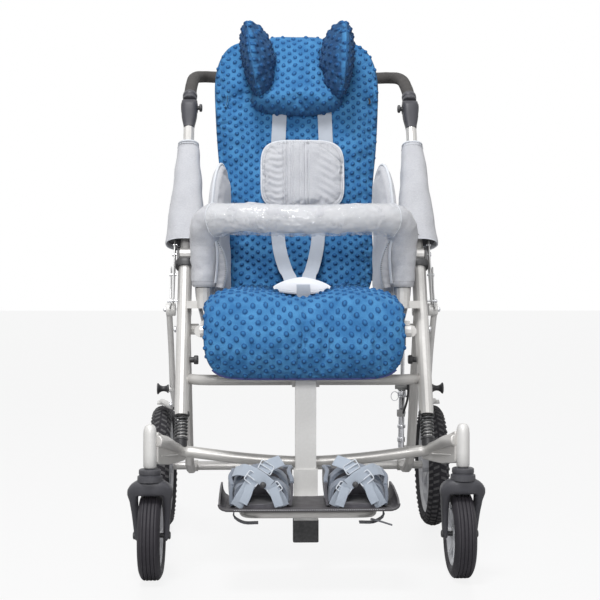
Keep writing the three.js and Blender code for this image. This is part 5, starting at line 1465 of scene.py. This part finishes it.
def handle_joint(side, sign):
    rings = []
    for height, half_x, half_y in ((0.3215, 0.0112, 0.0118), (0.3225, 0.0124, 0.0130),
                                   (0.3300, 0.0134, 0.0138), (0.3420, 0.0160, 0.0152),
                                   (0.3520, 0.0178, 0.0168), (0.3620, 0.0184, 0.0184)):
        rings.append(upright_ring(half_x, half_y, height, 48, 3.2))
    for k in range(12):
        angle = k / 11 * math.radians(80)
        rings.append(upright_ring(0.0186 - 0.0010 * (k / 11) ** 3, 0.0202 * math.cos(angle),
                                  HANDLE_PIVOT + 0.0202 * math.sin(angle), 48, 3.4))
    points, faces = lofted(rings)
    solid_piece(f"handle_joint_body_{side}", [(on_axis(sign, points), faces)], DARK, "handle_frame",
                [f"handle_joint_{side}"])
    disc = [(0, 0), (0.0125, 0), (0.0130, 0.0004), (0.0122, 0.0014), (0.0100, 0.0017), (0.0094, 0.0010),
            (0, 0.0010)]
    collar = [(0.0054, 0), *disc[1:-1], (0.0054, 0.0010)]
    discs = []
    for end in (-1, 1):
        points, faces = turned(disc, 36, "X") if end == sign else closed_turned(collar, 36, "X", (0, 0, 0))
        points = points * (end, 1, 1) + (end * 0.0176, 0, HANDLE_PIVOT)
        discs.append((on_axis(sign, points), faces))
    solid_piece(f"handle_joint_discs_{side}", discs, BLACK, "handle_frame")


HANDLE_PATH = ((0.260, 0.1100, 1.0154), (0.260, 0.1274, 1.0432), (0.2598, 0.197, 1.0850),
               (0.2574, 0.3014, 1.1217), (0.239, 0.3797, 1.1395), (0.1924, 0.400, 1.142))


def joint_knob(side, sign):
    profile = [(0, -0.002), (0.0050, -0.002), (0.0050, 0.0030), (0.0082, 0.0034), (0.0092, 0.0048),
               (0.0092, 0.0078), (0.0080, 0.0096), (0.0050, 0.0102), (0, 0.0103)]
    points, faces = turned(profile, 32, "X", (0, 0, 0))
    points = points * (-sign, 1, 1) + (-sign * 0.0200, 0, HANDLE_PIVOT)
    solid_piece(f"joint_knob_{side}", [(on_axis(sign, points), faces)], BLACK, f"button_{side}",
                [f"joint_button_{side}"])


def handlebar():
    right = [(-x, y, z) for x, y, z in HANDLE_PATH]
    line = curve_through(right + [(0, 0.400, 1.142), *HANDLE_PATH[::-1]], per=30)
    run = np.concatenate([[0], np.cumsum(np.linalg.norm(np.diff(line, axis=0), axis=1))])
    total = run[-1]

    def stretch(start, end, count):
        at = np.linspace(start, end, count)
        return np.stack([np.interp(at, run, line[:, k]) for k in range(3)], 1)

    foam = stretch(0.040, total - 0.040, 170)
    foam_points, foam_faces = swept(foam, ring_section(0.0146, 0.0146, 30), across=(0, 0.35, -0.94))
    ripples = np.array([noise.noise(Vector(p) / 0.02) for p in foam_points])[:, None]
    centre = np.repeat(foam, 30, axis=0)
    away = (foam_points - centre) / np.linalg.norm(foam_points - centre, axis=1)[:, None]
    solid_piece("grip", [(foam_points + away * ripples * 0.0004, foam_faces)], FOAM, "handle",
                ["handlebar"], sharp=70)
    collars = []
    for start, way in ((0.0, 1), (total, -1)):
        sizes = ((0.0215, 0.0140), (0.0225, 0.0162), (0.0290, 0.0168), (0.0295, 0.0156), (0.0315, 0.0156),
                 (0.0320, 0.0170), (0.0400, 0.0172), (0.0412, 0.0160), (0.0430, 0.0148))
        centres = np.array([stretch(start + way * d, start + way * (d + 1e-4), 2)[0] for d, _ in sizes])
        section = ring_section(1, 1, 36)[None] * np.array([r for _, r in sizes])[:, None, None]
        collars.append(swept(centres, section))
    solid_piece("handle_collars", collars, DARK, "handle")
    teeth = []
    for start, way in ((0.0, 1), (total, -1)):
        here = stretch(start + way * 0.0305, start + way * 0.0306, 2)[0]
        for k in range(3):
            x, y, z = here
            teeth.append(moved(block((-0.0042, -0.0010, -0.0012), (0.0042, 0.0010, 0.0012)),
                               (x + (k - 1) * 0.0105, y - 0.0150 + 0.002 * abs(k - 1), z - 0.0075)))
    solid_piece("handle_slots", teeth, BLACK, "handle")


def fold_links(side, sign):
    """Lever plates and bolts of the folding lock, outside a main tube."""
    outer = rounded_outline([(-0.017, 0.030), (0.015, 0.030), (0.017, -0.020), (0.004, -0.118),
                             (-0.012, -0.122), (-0.019, -0.040)], 0.008)
    lever = rounded_outline([(-0.004, -0.030), (0.014, -0.030), (0.022, -0.075), (0.012, -0.128),
                             (-0.002, -0.128), (0.006, -0.080)], 0.006)
    parts = []
    for outline, place, thick in ((outer, 0.0225, 0.0030), (lever, 0.0300, 0.0028)):
        points, faces = prism([tuple(p) for p in outline], place, place + thick, "X")
        parts.append((on_axis(sign, points * (sign, 1, 1)), faces))
    solid_piece(f"lock_plates_{side}", parts, GREY_STEEL, "frame", bevel=0.0007)
    bolts = []
    for y, z, start, end, radius in ((0, 0, 0.0185, 0.0300, 0.0050), (0.004, -0.048, 0.0185, 0.0350, 0.0040),
                                     (0.000, -0.112, 0.0160, 0.0375, 0.0042),
                                     (-0.008, 0.020, 0.0185, 0.0285, 0.0036)):
        profile = [(0, start), (radius * 0.55, start), (radius * 0.55, end - 0.004), (radius, end - 0.004),
                   (radius, end - 0.001), (radius * 0.7, end), (0, end)]
        points, faces = turned(profile, 20, "X", (0, y, z))
        bolts.append((on_axis(sign, points * (sign, 1, 1)), faces))
    solid_piece(f"lock_bolts_{side}", bolts, CHROME, "frame")
    band = [(0.0158, -0.0010), (0.0205, -0.0010), (0.0212, 0.0000), (0.0212, 0.0150), (0.0205, 0.0160),
            (0.0158, 0.0160)]
    rings = [upright_ring(r, r + 0.0022, h - 0.0335, 48, 2.4) for r, h in band]
    points, faces = lofted(rings, closed=True)
    solid_piece(f"lock_band_{side}", [(on_axis(sign, points), faces)], BLACK, "frame")


handlebar()
for side, sign in SIDES:
    tube_cover(side, sign)
    handle_joint(side, sign)
    joint_knob(side, sign)
    fold_links(side, sign)


# Safety bar and its padded cover

BAR_X = 0.216
BAR_LEG = ((0.216, -0.112), (0.216, -0.112), (0.216, -0.1183), (0.2035, -0.137), (0.170, -0.162))
BAR_HEIGHTS = (0.665, 0.7005, 0.7318, 0.738)


def bar_route(foot):
    heights = (foot, *BAR_HEIGHTS)
    left = [(x, y, z) for (x, y), z in zip(BAR_LEG, heights)]
    right = [(-x, y, z) for x, y, z in left]
    return right + [(0, -0.190, 0.7338)] + left[::-1]


def safety_bar():
    solid_piece("bar_tube", [bar(bar_route(0.5493), 0.0125, steps=150, sides=28)], SILVER, "bar",
                ["safety_bar"], sharp=60)
    line = evened(curve_through(bar_route(0.592)), 190)
    run = np.linspace(-1, 1, 190)
    total = np.linalg.norm(np.diff(line, axis=0), axis=1).sum()
    from_end = (1 - abs(run)) * total / 2
    size = np.interp(from_end, (0, 0.004, 0.03, 0.075, 0.105, 0.135, 0.165, 0.20, 0.30),
                     (0.0235, 0.0250, 0.0262, 0.0290, 0.0318, 0.0340, 0.0335, 0.0305, 0.0300))
    line, size = with_round_ends(line, size, 0.16)
    points, faces = swept(line, size[:, None, None] * ring_section(1, 1, 44)[None], across=(0, 1, 0.2))
    count = len(line)
    grid = points.reshape(count, 44, 3)
    centre = line[:, None]
    away = (grid - centre) / np.linalg.norm(grid - centre, axis=2, keepdims=True)
    along = np.concatenate([[0], np.cumsum(np.linalg.norm(np.diff(line, axis=0), axis=1))])
    reach = np.minimum(along, along[-1] - along)[:, None]
    inner = np.clip(-(away[..., 2] * 0.7 + away[..., 1] * -0.2) - 0.05, 0, 1)
    folds = sum(depth * np.exp(-(((reach - place - 0.010 * inner) / 0.0032) ** 2)) for place, depth in
                ((0.094, 0.0050), (0.103, 0.0036), (0.113, 0.0030), (0.124, 0.0016), (0.046, 0.0012),
                 (0.066, 0.0010)))
    seam = (0.0020 * np.exp(-(((reach - 0.009) / 0.0014) ** 2))
            + 0.0012 * np.exp(-(((reach - 0.0885) / 0.0012) ** 2)))
    soft = lumps(grid, 0.028, 17) * 0.0032 + lumps(grid, 0.010, 18) * 0.0014
    lift = soft - folds * (0.25 + inner) - seam
    solid = (grid + away * lift[..., None]).reshape(-1, 3)
    hems = []
    for end in (0.012, along[-1] - 0.012):
        k = int(np.argmin(abs(along - end)))
        hems.append(solid.reshape(count, 44, 3)[k] + away[k] * 0.0004)
    for (side, _), hem in zip(SIDES, hems):
        stitches(f"bar_cover_stitches_{side}", hem, THREAD, "bar", "grey_cloth", closed=True)
    obj = solid_piece("bar_cover", [(solid, faces)], GREY_CLOTH, "bar", ["safety_bar_cover"],
                      sharp=80)
    film(line, size)


def film(line, size):
    """Clear sleeve over the front of the cover: smooth on top, crinkled and hanging below."""
    keep = abs(line[:, 0] + 0.001) < 0.188
    line, size = line[keep], size[keep]
    line = evened(np.column_stack([line, size]), 260)
    around = 72
    outer, inner = [], []
    sides, outs, _ = frames_along(line[:, :3], (0, 1, 0.2))
    for k in range(len(line)):
        ring, core = [], []
        hem = 0.0035 + 0.0030 * abs(noise.noise(Vector((line[k, 0] / 0.018, 3.1, 0))))
        for j in range(around):
            angle = 2 * math.pi * j / around
            way = math.cos(angle) * sides[k] + math.sin(angle) * outs[k]
            low = max(0.0, 0.25 - way[2]) / 1.25
            spot = Vector(line[k, :3] + way * line[k, 3])
            ridge = 1 - abs(noise.noise(spot / 0.016 + Vector((1.7, 0.3, 5.1)))) * 3.2
            crease = max(0.0, ridge) * 0.0034 + abs(noise.noise(spot / 0.007)) * 0.0010
            sag = hem * max(0.0, -way[2] - 0.35)
            radius = line[k, 3] + 0.0010 + crease * (0.10 + low) + sag
            ring.append(line[k, :3] + way * radius)
            core.append(line[k, :3] + way * (radius - 0.0004))
        outer.append(ring)
        inner.append(core)
    points, faces = lofted(np.array(outer + inner[::-1]), closed=True)
    solid_piece("bar_film", [(points, faces)], FILM, "bar", sharp=28)
    edges = []
    for k in (0, -1):
        ring = np.array(outer[k])
        edges.append(swept(ring, ring_section(0.0009, 0.0009, 6), closed=True))
    solid_piece("bar_film_hems", edges, PIPING, "bar", sharp=80)


def bar_zip(side, sign):
    """Zip tapes and the open flap on the inner side of a leg of the cover."""
    inner = sign * (BAR_X - 0.0300)
    tape_line = [(inner + sign * 0.004, -0.131, 0.698), (inner - sign * 0.0005, -0.130, 0.665),
                 (inner + sign * 0.001, -0.128, 0.630), (inner + sign * 0.004, -0.126, 0.600)]
    parts = [tape(tape_line, 0.0065, 0.0022, across=(sign * 0.6, -0.8, 0))]
    flap_edge = [(inner + sign * 0.003, -0.126, 0.697), (inner - sign * 0.0125, -0.122, 0.668),
                 (inner - sign * 0.0195, -0.120, 0.635), (inner - sign * 0.0165, -0.118, 0.606),
                 (inner - sign * 0.012, -0.117, 0.590)]
    parts.append(tape(flap_edge, 0.0060, 0.0022, across=(sign * 0.5, -0.85, 0)))
    solid_piece(f"zip_tapes_{side}", parts, PIPING, "bar", sharp=70)
    rows, columns = 34, 9
    edge = evened(curve_through(flap_edge), rows)
    root = evened(curve_through([(inner + sign * 0.006, -0.120, 0.697),
                                 (inner + sign * 0.003, -0.113, 0.665),
                                 (inner + sign * 0.002, -0.110, 0.630),
                                 (inner + sign * 0.003, -0.110, 0.592)]), rows)
    grid = np.array([[root[r] + (edge[r] - root[r]) * c / (columns - 1) for c in range(columns)]
                     for r in range(rows)])
    gather = np.sin(np.arange(rows)[:, None] * 1.35 + np.arange(columns)[None] * 0.25) * 0.0012
    bow = np.sin(np.linspace(0, math.pi, columns))[None] * 0.0035
    grid[..., 1] -= gather + bow
    solid_piece(f"zip_flap_{side}", [shell(grid, 0.0022)], GREY_CLOTH, "bar", sharp=60)
    teeth = []
    for k in range(26):
        at = k / 25
        spot = np.array([np.interp(at * (rows - 1), np.arange(rows), edge[:, c]) for c in range(3)])
        points, faces = block((-0.0016, -0.0012, -0.0009), (0.0016, 0.0012, 0.0009))
        teeth.append((points + spot + (sign * 0.0012, -0.0018, 0), faces))
    solid_piece(f"zip_teeth_{side}", teeth, DARK_CLOTH, "bar")


def shell(grid, thickness):
    """Points and faces of a sheet given as a grid, made thick on both sides."""
    normal = normals_of(grid)
    top, low = grid + normal * thickness / 2, grid - normal * thickness / 2
    rows, columns = grid.shape[:2]
    index = np.arange(rows * columns).reshape(rows, columns)
    under = index + rows * columns
    faces = []
    for r in range(rows - 1):
        for c in range(columns - 1):
            faces.append([index[r, c], index[r, c + 1], index[r + 1, c + 1], index[r + 1, c]])
            faces.append([under[r, c], under[r + 1, c], under[r + 1, c + 1], under[r, c + 1]])
    rim = [*index[0, :], *index[1:, -1], *index[-1, -2::-1], *index[-2:0:-1, 0]]
    deep = [*under[0, :], *under[1:, -1], *under[-1, -2::-1], *under[-2:0:-1, 0]]
    for k in range(len(rim)):
        nxt = (k + 1) % len(rim)
        faces.append([rim[k], rim[nxt], deep[nxt], deep[k]])
    return np.concatenate([top.reshape(-1, 3),
                           low.reshape(-1, 3)]), [[int(i) for i in face] for face in faces]


safety_bar()
for side, sign in SIDES:
    bar_zip(side, sign)


# Legrest: footplate, sandals and the post's end cap

TRAY_TOP = 0.166
TRAY_FRONT, TRAY_REAR = -0.431, -0.266


def footplate():
    across = [(-0.171, 1.0), (-0.1705, 0.72), (-0.1675, 0.36), (-0.160, 0.10), (-0.148, 0.0), (-0.09, 0.0),
              (0, 0.0)]
    profile = evened(curve_through(across + [(-x, h) for x, h in across[-2::-1]]), 90)
    deep = np.linspace(0, 1, 24)
    rise = 0.013 + 0.017 * np.sqrt(np.clip(deep * 1.6, 0, 1))
    rise[0] = 0.0120
    y = TRAY_FRONT + 0.004 + (TRAY_REAR - TRAY_FRONT - 0.006) * deep
    grid = np.empty((len(deep), len(profile), 3))
    grid[..., 0] = profile[None, :, 0]
    grid[..., 1] = y[:, None]
    grid[..., 2] = TRAY_TOP - 0.0015 + rise[:, None] * np.clip(profile[None, :, 1], 0, 1)
    near = np.clip(1.6 - abs(grid[..., 0]) / 0.030, 0, 1)
    grid[..., 1] -= 0.010 * near * deep[:, None] ** 3
    parts = [shell(grid, 0.0036)]
    lip = grid[0] + (0, -0.001, 0)
    parts.append(swept(lip, ring_section(0.0032, 0.0030, 10), across=(0, 1, 0)))
    solid_piece("tray", parts, TRAY, "foot", ["footplate"], sharp=50)
    z = 0.1515
    front = TRAY_FRONT + 0.042
    ends = [(0.033, -0.2638, z), (0.107, -0.2638, z), (0.122, -0.270, z), (0.125, -0.284, z),
            (0.125, front + 0.018, z), (0.120, front + 0.005, z), (0.107, front, z)]
    route = [(-a, b, c) for a, b, c in ends] + [(0, front, z)] + ends[::-1]
    solid_piece("tray_frame", [bar(route, 0.0088, steps=130, sides=22)], SILVER, "foot")
    stitches = []
    for k in range(72):
        x = -0.142 + 0.284 * k / 71
        points, faces = block((-0.0011, -0.0004, -0.0004), (0.0011, 0.0004, 0.0004))
        stitches.append((points + (x, TRAY_FRONT + 0.0001, TRAY_TOP - 0.0008), faces))
    solid_piece("tray_stitches", stitches, GREY_CLOTH, "foot")


def buckle(place, across, up, width, height, bar_count=1):
    """Points and faces of a flat ladder buckle at a place."""
    across = np.array(across) / np.linalg.norm(across)
    up = np.array(up, float) - across * np.dot(up, across)
    up /= np.linalg.norm(up)
    out = np.cross(across, up)
    corners = rounded_outline([(-width / 2, -height / 2), (width / 2, -height / 2), (width / 2, height / 2),
                               (-width / 2, height / 2)],
                              0.003, 4)
    loop = [np.array(place) + across * a + up * b for a, b in corners]
    parts = [swept(evened(loop, 40, closed=True), ring_section(0.0016, 0.0012, 8), closed=True, across=out)]
    for k in range(bar_count):
        level = (k + 1) / (bar_count + 1) - 0.5
        ends = [np.array(place) + across * a * width / 2 + up * level * height for a in (-1, 0, 1)]
        parts.append(bar(ends, 0.0014, sides=8, steps=6, rounded=False))
    return parts


def sandal(side, sign):
    """Open sandal: sole, heel and side panels, an arched pad, crossing straps with buckles and a stud."""
    x0 = sign * 0.092
    low = TRAY_TOP + 0.0003
    inward = -sign

    def at(x, y, z):
        return (x0 + x * inward, y, low + z * 0.92)

    sole = rounded_outline([(-0.052, -0.416), (0.052, -0.416), (0.050, -0.300), (-0.050, -0.300)], 0.025)
    sole_points, sole_faces = prism([tuple(p) for p in sole], 0.0, 0.007, "Z")
    parts = [(sole_points + (x0, 0, low), sole_faces)]
    walls = []
    for end in (-1, 1):
        panel = []
        for r in range(14):
            v = r / 13
            row = []
            for c in range(16):
                u = c / 15
                y = -0.408 + 0.112 * u
                top = (0.052 if end > 0 else 0.046) + 0.020 * math.sin(u * math.pi * 0.75)
                z = 0.004 + (top - 0.004) * v
                slump = 0.0025 * math.sin(u * 9 + end) * v
                x = end * (0.0555 + 0.003 * math.sin(v * 2.6) + slump - 0.010 * max(0, u - 0.75) * 4 * v)
                row.append(at(x, y, z))
            panel.append(row)
        walls.append(np.array(panel))
    parts.append(shell(walls[1], 0.0045))
    heel = []
    for r in range(12):
        v = r / 11
        row = []
        for c in range(26):
            angle = math.pi * c / 25
            row.append(at(0.0545 * math.cos(angle), -0.326 + 0.028 * math.sin(angle), 0.004 + 0.062 * v))
        heel.append(row)
    parts.append(shell(np.array(heel), 0.0045))
    solid_piece(f"sandal_shell_{side}", parts, MESH_CLOTH, "foot", [f"foot_strap_{side}"],
                sharp=60)
    edges = [bar(wall[-1], 0.0042, sides=12, steps=40) for wall in walls]
    edges.append(bar(np.array([wall[1:, 0] for wall in walls][0]), 0.0038, sides=12, steps=30))
    quilt = []
    for a, b in (((2, 1), (11, 12)), ((11, 1), (2, 12))):
        line = [walls[1][int(round(a[0] + (b[0] - a[0]) * k / 6)), int(round(a[1] + (b[1] - a[1]) * k / 6))]
                + (inward * -0.0026, 0, 0) for k in range(7)]
        quilt.append(bar(line, 0.0008, sides=6, steps=20))
    solid_piece(f"sandal_side_{side}", [shell(walls[0], 0.0060), *edges, *quilt], SANDAL_CLOTH, "foot",
                sharp=60)

    def arch(y, half, top, wide, lean, seed):
        grid = []
        for r in range(30):
            angle = math.pi * r / 29
            row = []
            for c in range(14):
                u = c / 13 - 0.5
                bulge = 0.004 * math.cos(u * math.pi)
                ripple = 0.0016 * noise.noise(Vector((r * 0.35, c * 0.4, seed)))
                row.append(at((half + bulge + ripple) * math.cos(angle),
                              y + wide * u + lean * math.sin(angle),
                              0.012 + (top - 0.012 + bulge + ripple) * math.sin(angle) ** 0.75))
            grid.append(row)
        return shell(np.array(grid), 0.0065)

    solid_piece(f"sandal_pad_{side}", [arch(-0.386, 0.050, 0.056, 0.040, 0.004, 3.1 + sign)], SANDAL_CLOTH,
                "foot", sharp=60)
    solid_piece(f"sandal_instep_{side}", [arch(-0.356, 0.053, 0.074, 0.044, 0.012, 5.7 + sign)],
                SANDAL_CLOTH, "foot", sharp=60)
    wide = 0.0235
    straps = [
        tape([at(-0.047, -0.414, 0.004), at(-0.034, -0.417, 0.028), at(-0.012, -0.414, 0.062),
              at(0.016, -0.400, 0.086), at(0.040, -0.378, 0.094)], wide, 0.0020,
             across=(0.62 * inward, -0.05, -0.5)),
        tape([at(0.044, -0.414, 0.004), at(0.034, -0.419, 0.026), at(0.018, -0.421, 0.048)], wide * 0.92,
             0.0020, across=(0.7 * inward, -0.05, 0.55)),
        tape([at(0.018, -0.421, 0.048), at(-0.006, -0.418, 0.068), at(-0.034, -0.400, 0.078),
              at(-0.052, -0.376, 0.070)], wide, 0.0020,
             across=(0.5 * inward, -0.05, 0.62)),
        tape([at(-0.020, -0.421, 0.052), at(-0.026, -0.424, 0.030), at(-0.034, -0.424, 0.012)], 0.017,
             0.0018, across=(1.0 * inward, -0.1, 0.2)),
        tape([at(0.022, -0.424, 0.044), at(0.030, -0.427, 0.022), at(0.035, -0.427, 0.006)], 0.018, 0.0018,
             across=(1.0 * inward, -0.1, -0.2)),
    ]
    solid_piece(f"sandal_straps_{side}", straps, SANDAL_TAPE, "foot", sharp=60)
    parts = buckle(at(0.010, -0.4055, 0.083), (0.62 * inward, 0.1, -0.42), (0.4 * inward, 0.35, 0.6), 0.028,
                   0.019)
    parts += buckle(at(-0.016, -0.4175, 0.062), (0.62 * inward, 0.05, -0.5), (0.5 * inward, 0.3, 0.6), 0.027,
                    0.021)
    parts += buckle(at(0.026, -0.4215, 0.041), (0.7 * inward, 0.05, 0.55), (-0.5 * inward, 0.2, 0.6), 0.026,
                    0.018)
    solid_piece(f"sandal_buckles_{side}", parts, SANDAL_CLIP, "foot", sharp=60)
    stud = [(0, 0), (0.0052, 0), (0.0060, 0.0015), (0.0058, 0.0050), (0.0034, 0.0074), (0, 0.0078)]
    points, faces = turned(stud, 24, "Y")
    solid_piece(f"sandal_stud_{side}", [(points * (1, -1, 1) + at(0.004, -0.4235, 0.050), faces)], BLACK,
                "foot")


def strap_ends():
    """Loops of the sandals' straps under the tray, with one loose end."""
    parts = []
    for _, sign in SIDES:
        x = sign * 0.142
        parts.append(tape([(x, -0.398, 0.164), (x + sign * 0.002, -0.402, 0.150),
                           (x - sign * 0.016, -0.404, 0.138), (x - sign * 0.045, -0.404, 0.137)], 0.018,
                          0.0022, across=(0, 1, 0.1)))
    parts.append(tape([(0.118, -0.420, 0.146), (0.134, -0.428, 0.143), (0.158, -0.4285, 0.1355)], 0.006,
                      0.0016, across=(0, 1, 0.3)))
    solid_piece("sandal_strap_ends", parts, DARK_CLOTH, "foot", sharp=60)


def post_details():
    outer_x, outer_y = 0.0250, 0.0152
    rings = []
    for grow, z in ((0.0002, 0.0675), (0.0012, 0.0685), (0.0012, 0.1120), (0.0001, 0.1120),
                    (0.0001, 0.0895)):
        half_x, half_y = outer_x + grow, outer_y + grow
        outline = rounded_outline([(-half_x, -half_y), (half_x, -half_y), (half_x, half_y),
                                   (-half_x, half_y)], 0.004)
        rings.append([(x, y - 0.240, z) for x, y in outline])
    solid_piece("post_end_cap", [lofted(np.array(rings))], BLACK, "leg_slide")
    knob = [(0, 0), (0.0045, 0), (0.0045, 0.010), (0.0100, 0.011), (0.0108, 0.013), (0.0108, 0.022),
            (0.0095, 0.0245), (0, 0.025)]
    points, faces = turned(knob, 28, "Y", (0, -0.240 + outer_y, 0.190))
    solid_piece("post_clamp_knob", [(points, faces)], BLACK, "leg_slide")


footplate()
strap_ends()
post_details()
for side, sign in SIDES:
    sandal(side, sign)


# Tilt strut


def strut_details():
    low, high = np.array((0.2365, 0.09487, 0.21373)), np.array((0.2365, 0.052, 0.490))
    way = (high - low) / np.linalg.norm(high - low)

    def along(distance):
        return low + way * distance

    lean = np.array(Vector((0, 0, 1)).rotation_difference(Vector(way)).to_matrix())

    def collar(start, end, radius):
        bore, edge = 0.0066, 0.0012
        profile = [(bore, start), (radius * 0.93, start), (radius, start + edge), (radius, end - edge),
                   (radius * 0.93, end), (bore, end)]
        points, faces = closed_turned(profile, 28, "Z", (0, 0, 0))
        return points @ lean.T + low, faces

    parts = [collar(0.018, 0.030, 0.0090), collar(0.052, 0.060, 0.0094), collar(0.086, 0.093, 0.0094),
             collar(0.126, 0.142, 0.0100)]
    solid_piece("strut_collars", parts, CHROME, "strut_lower")
    clamp = along(0.150)
    arm = [clamp + (-0.018, -0.0115, 0), clamp + (0.0, -0.0125, 0.001), clamp + (0.010, -0.0115, 0)]
    pieces = [bar(arm, 0.0048, sides=16, steps=14), collar(0.143, 0.158, 0.0110)]
    low_clamp = along(0.088)
    pieces.append(moved(block((-0.012, -0.017, -0.008), (0.006, -0.0062, 0.008)), low_clamp))
    solid_piece("strut_clamp", pieces, GREY_STEEL, "strut_lower", bevel=0.0008)
    knob = [(0, 0), (0.0072, 0), (0.0082, 0.0012), (0.0082, 0.0100), (0.0070, 0.0116), (0, 0.012)]
    points, faces = turned(knob, 24, "X", tuple(clamp + (0.0095, -0.0115, 0)))
    lever_top = clamp + (0.013, -0.0125, -0.006)
    lever = bar([lever_top, lever_top + (-0.002, 0, -0.022), lever_top + (-0.008, 0.003, -0.044),
                 lever_top + (-0.012, 0.008, -0.058)],
                0.0026, sides=12, steps=24)
    solid_piece("strut_lever", [(points, faces), lever], BLACK, "strut_lower")
    ring = []
    centre = along(0.128) + (-0.0175, -0.006, 0)
    for k in range(30):
        angle = 2 * math.pi * k / 30
        ring.append(centre + (0.0088 * math.cos(angle), 0.002 * math.cos(angle), 0.0105 * math.sin(angle)))
    pin = [along(0.128) + (-0.010, -0.0125, 0), along(0.128) + (0.010, -0.0125, 0)]
    solid_piece("strut_ring_pin", [swept(ring, ring_section(0.0009, 0.0009, 8), closed=True),
                                   bar(pin, 0.0022, sides=10, smooth=False, steps=6)],
                CHROME, "strut_lower")
    fork = along(0.252)
    eye = [(0, -0.008), (0.0085, -0.008), (0.0092, -0.007), (0.0092, 0.007), (0.0085, 0.008), (0, 0.008)]
    points, faces = turned(eye, 28, "X", tuple(along(0.2795)))
    cheeks = moved(block((-0.0065, -0.006, -0.004), (0.0065, 0.006, 0.020)), fork)
    solid_piece("strut_head", [(points, faces), cheeks], GREY_STEEL, "strut_upper",
                bevel=0.0012)


strut_details()


# Small fittings on the seat and the frame


def seat_side_straps(side, sign):
    """Cloth strips that hang from the hips to the seat rails."""
    top = (sign * 0.2310, -0.098, 0.600)
    route = [top, (sign * 0.2300, -0.096, 0.575), (sign * 0.2245, -0.094, 0.548),
             (sign * 0.2180, -0.092, 0.520)]
    solid_piece(f"seat_strip_{side}", [tape(route, 0.020, 0.0022, across=(0.35 * sign, -0.94, 0))],
                GREY_CLOTH, "seat", sharp=60)


def frame_fittings(side, sign):
    bolts = []
    for y, z, x, radius in ((-0.072, 0.500, 0.2780, 0.0070), (REAR_PIVOT[0], REAR_PIVOT[1], 0.2735, 0.0050)):
        profile = [(0, 0), (radius, 0), (radius * 1.05, 0.0008), (radius, 0.0036), (radius * 0.55, 0.0056),
                   (0, 0.0058)]
        points, faces = turned(profile, 24, "X", (0, 0, 0))
        bolts.append((points * (sign, 1, 1) + (sign * x, y, z), faces))
    solid_piece(f"frame_bolts_{side}", bolts, CHROME, "frame")
    stop = [(0, 0), (0.0062, 0), (0.0062, 0.008), (0.0092, 0.009), (0.0098, 0.011), (0.0098, 0.016),
            (0.0085, 0.018), (0, 0.0184)]
    points, faces = turned(stop, 24, "X")
    solid_piece(f"stop_knob_{side}", [(points * (-sign, 1, 1) + (sign * 0.2450, -0.1180, 0.435), faces)],
                BLACK, "frame")


for side, sign in SIDES:
    seat_side_straps(side, sign)
    frame_fittings(side, sign)


# Floor, light and camera


def stage_floor():
    look = Look("studio_floor", Roughness=0.35)
    look.color(look.mix(look.noise(0.6, 2), srgb(196, 196, 197), srgb(204, 204, 205)))
    white = look.node("ShaderNodeEmission")
    white.inputs["Strength"].default_value = 1.0
    blend = look.node("ShaderNodeMixShader")
    rays = look.node("ShaderNodeLightPath")
    share = look.maths("MULTIPLY", rays.outputs["Is Camera Ray"], 0.86)
    look.link(share, blend.inputs["Fac"])
    look.link(look.shader.outputs["BSDF"], blend.inputs[1])
    look.link(white.outputs["Emission"], blend.inputs[2])
    look.link(blend.outputs["Shader"], look.tree.nodes["Material Output"].inputs["Surface"])
    size = 60.0
    floor = mesh_object("floor", [(-size, -size, 0), (size, -size, 0), (size, size, 0), (-size, size, 0)],
                        [[0, 1, 2, 3]])
    floor.data.materials.append(look.material)


def world_light():
    world = bpy.data.worlds.new("studio")
    scene.world = world
    world.use_nodes = True
    tree = world.node_tree
    background = tree.nodes["Background"]
    background.inputs["Color"].default_value = (1, 1, 1, 1)
    background.inputs["Strength"].default_value = 0.27
    white = tree.nodes.new("ShaderNodeBackground")
    white.inputs["Color"].default_value = (1, 1, 1, 1)
    white.inputs["Strength"].default_value = 1.0
    rays = tree.nodes.new("ShaderNodeLightPath")
    shown = tree.nodes.new("ShaderNodeMath")
    shown.operation = "MAXIMUM"
    tree.links.new(rays.outputs["Is Camera Ray"], shown.inputs[0])
    tree.links.new(rays.outputs["Is Glossy Ray"], shown.inputs[1])
    also = tree.nodes.new("ShaderNodeMath")
    also.operation = "MAXIMUM"
    tree.links.new(shown.outputs[0], also.inputs[0])
    tree.links.new(rays.outputs["Is Transmission Ray"], also.inputs[1])
    blend = tree.nodes.new("ShaderNodeMixShader")
    tree.links.new(also.outputs[0], blend.inputs["Fac"])
    tree.links.new(background.outputs[0], blend.inputs[1])
    tree.links.new(white.outputs[0], blend.inputs[2])
    tree.links.new(blend.outputs[0], tree.nodes["World Output"].inputs["Surface"])


def soft_lamp(name, place, aim, size, power):
    light = bpy.data.lights.new(name, "AREA")
    light.size = size
    light.energy = power
    obj = bpy.data.objects.new(name, light)
    scene.collection.objects.link(obj)
    obj.location = place
    obj.rotation_euler = (Vector(aim) - Vector(place)).to_track_quat("-Z", "Y").to_euler()


CAMERA_PLACE = (-0.090, -2.667, 0.564)
CAMERA_YAW = math.radians(1.85)
FOCAL_PIXELS = 1179
PHOTO_WIDTH = 600


def camera():
    data = bpy.data.cameras.new("camera")
    data.sensor_width = 36.0
    data.lens = data.sensor_width * FOCAL_PIXELS / PHOTO_WIDTH
    obj = bpy.data.objects.new("camera", data)
    scene.collection.objects.link(obj)
    obj.location = CAMERA_PLACE
    obj.rotation_euler = (math.pi / 2, 0, -CAMERA_YAW)
    scene.camera = obj


stage_floor()
world_light()
soft_lamp("key", (-0.5, -1.5, 3.4), (0, 0, 0.55), 0.9, 82)
soft_lamp("fill", (-0.2, -3.2, 1.75), (0, 0, 0.55), 0.9, 46)
camera()
scene.view_settings.view_transform = "Standard"
